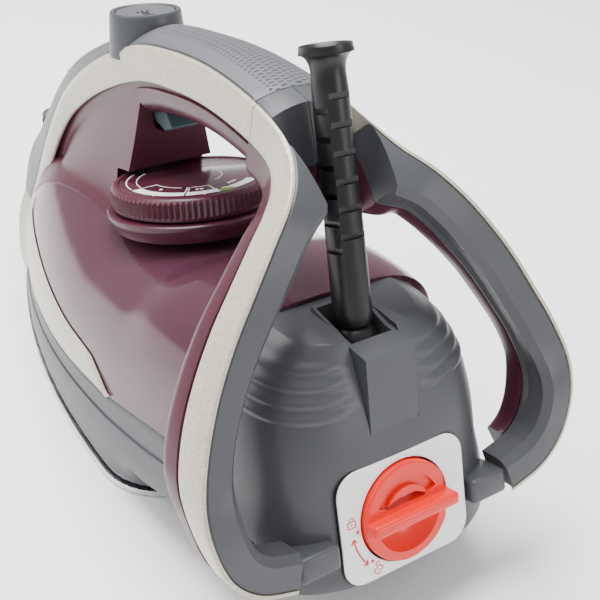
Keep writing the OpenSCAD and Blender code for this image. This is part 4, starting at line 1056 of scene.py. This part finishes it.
refined("cord_guard", "guard", BLACK, 0.25, 30, "black_plastic")
refined("guard_ball", "guard", BLACK, 0.2, 30, "black_plastic")
refined("soleplate", "root", STEEL, 0.6, 30, "sole_steel")
refined("spray_nozzle", "root", COVER_GREY, 0.4, 30, "light_grey_plastic")
refined("base_plate", "root", GREY, 0.4, 30, "grey_plastic")

HIDDEN = (
    (CAST, "heater_casting chamber_cover"),
    (BRIGHT, "heating_element thermal_fuse sole_screws heel_screws collector_rod valve_rod"),
    (BRIGHT, "button_spring trigger_spring door_pin guard_yoke"),
    (BLACK, "chamber_seal collector_seal pump_hose thermostat dial_shaft"),
    (TANK, "tank_baffles"),
    (COVER_GREY, "steam_tube"),
    (WHITE, "steam_valve spray_pump terminal_block"),
)
for look, names in HIDDEN:
    for node in names.split():
        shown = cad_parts[node]
        shown.data.materials.clear()
        shown.data.materials.append(look)

# ---------------------------------------------------------------- floor, light and camera


def stage_material():
    mat, n, bsdf = finish("pale_floor")
    where = n.add("TexCoord").outputs["Object"]
    cloud = n.add("TexNoise", Vector=where, Scale=3.0)
    n.put(bsdf.inputs["Base Color"], n.mix(cloud.outputs[0], (0.94, 0.94, 0.94, 1), (0.96, 0.96, 0.96, 1)))
    bsdf.inputs["Roughness"].default_value = 0.55
    return mat


ground = bmesh.new()
bmesh.ops.create_grid(ground, x_segments=1, y_segments=1, size=6.0)
floor_mesh = bpy.data.meshes.new("floor")
ground.to_mesh(floor_mesh)
ground.free()
floor_mesh.materials.append(stage_material())
floor = bpy.data.objects.new("floor", floor_mesh)
floor.location.z = -0.0006
bpy.context.scene.collection.objects.link(floor)

world = bpy.data.worlds.new("studio")
bpy.context.scene.world = world
world.use_nodes = True
wn = Nodes(world.node_tree)
back = world.node_tree.nodes["Background"]
ramp = wn.add("ValToRGB")
slope = wn.add("SeparateXYZ")
wn.put(slope.inputs[0], wn.add("TexCoord").outputs["Generated"])
wn.put(ramp.inputs[0], wn.math("ADD", wn.math("MULTIPLY", slope.outputs[2], 0.5), 0.5))
ramp.color_ramp.elements[0].color = (0.75, 0.75, 0.76, 1)
ramp.color_ramp.elements[1].color = (1.0, 1.0, 1.0, 1)
wn.put(back.inputs[0], ramp.outputs[0])
back.inputs[1].default_value = 0.8


def soft_light(name, place_at, towards, size, power, size_y=None):
    data = bpy.data.lights.new(name, "AREA")
    data.shape = "RECTANGLE"
    data.size, data.size_y, data.energy = size, size_y or size, power
    light = bpy.data.objects.new(name, data)
    light.location = place_at
    light.rotation_euler = (Vector(towards) - Vector(place_at)).to_track_quat("-Z", "Y").to_euler()
    bpy.context.scene.collection.objects.link(light)


soft_light("key", (0.3, 0.9, 1.0), (0, 0, 0.08), 0.8, 11)
soft_light("top", (0.3, 0.0, 1.3), (0, 0, 0.08), 0.9, 46)
soft_light("rear", (-1.1, -0.5, 0.5), (-0.1, 0, 0.08), 0.5, 5)

eye = bpy.data.cameras.new("camera")
eye.lens, eye.sensor_width, eye.clip_start = 64.8, 36, 0.01
camera = bpy.data.objects.new("camera", eye)
right, down, ahead = Vector((-0.55944, -0.82671, 0.05988)), Vector((-0.47984, 0.26411,
    -0.83666)), Vector((0.67586, -0.49679, -0.54444))
camera.matrix_world = Matrix((
    (right.x, -down.x, -ahead.x, -0.340135), (right.y, -down.y, -ahead.y, 0.187860), (right.z, -down.z,
        -ahead.z, 0.295462), (0, 0, 0, 1)))
bpy.context.scene.collection.objects.link(camera)
bpy.context.scene.camera = camera
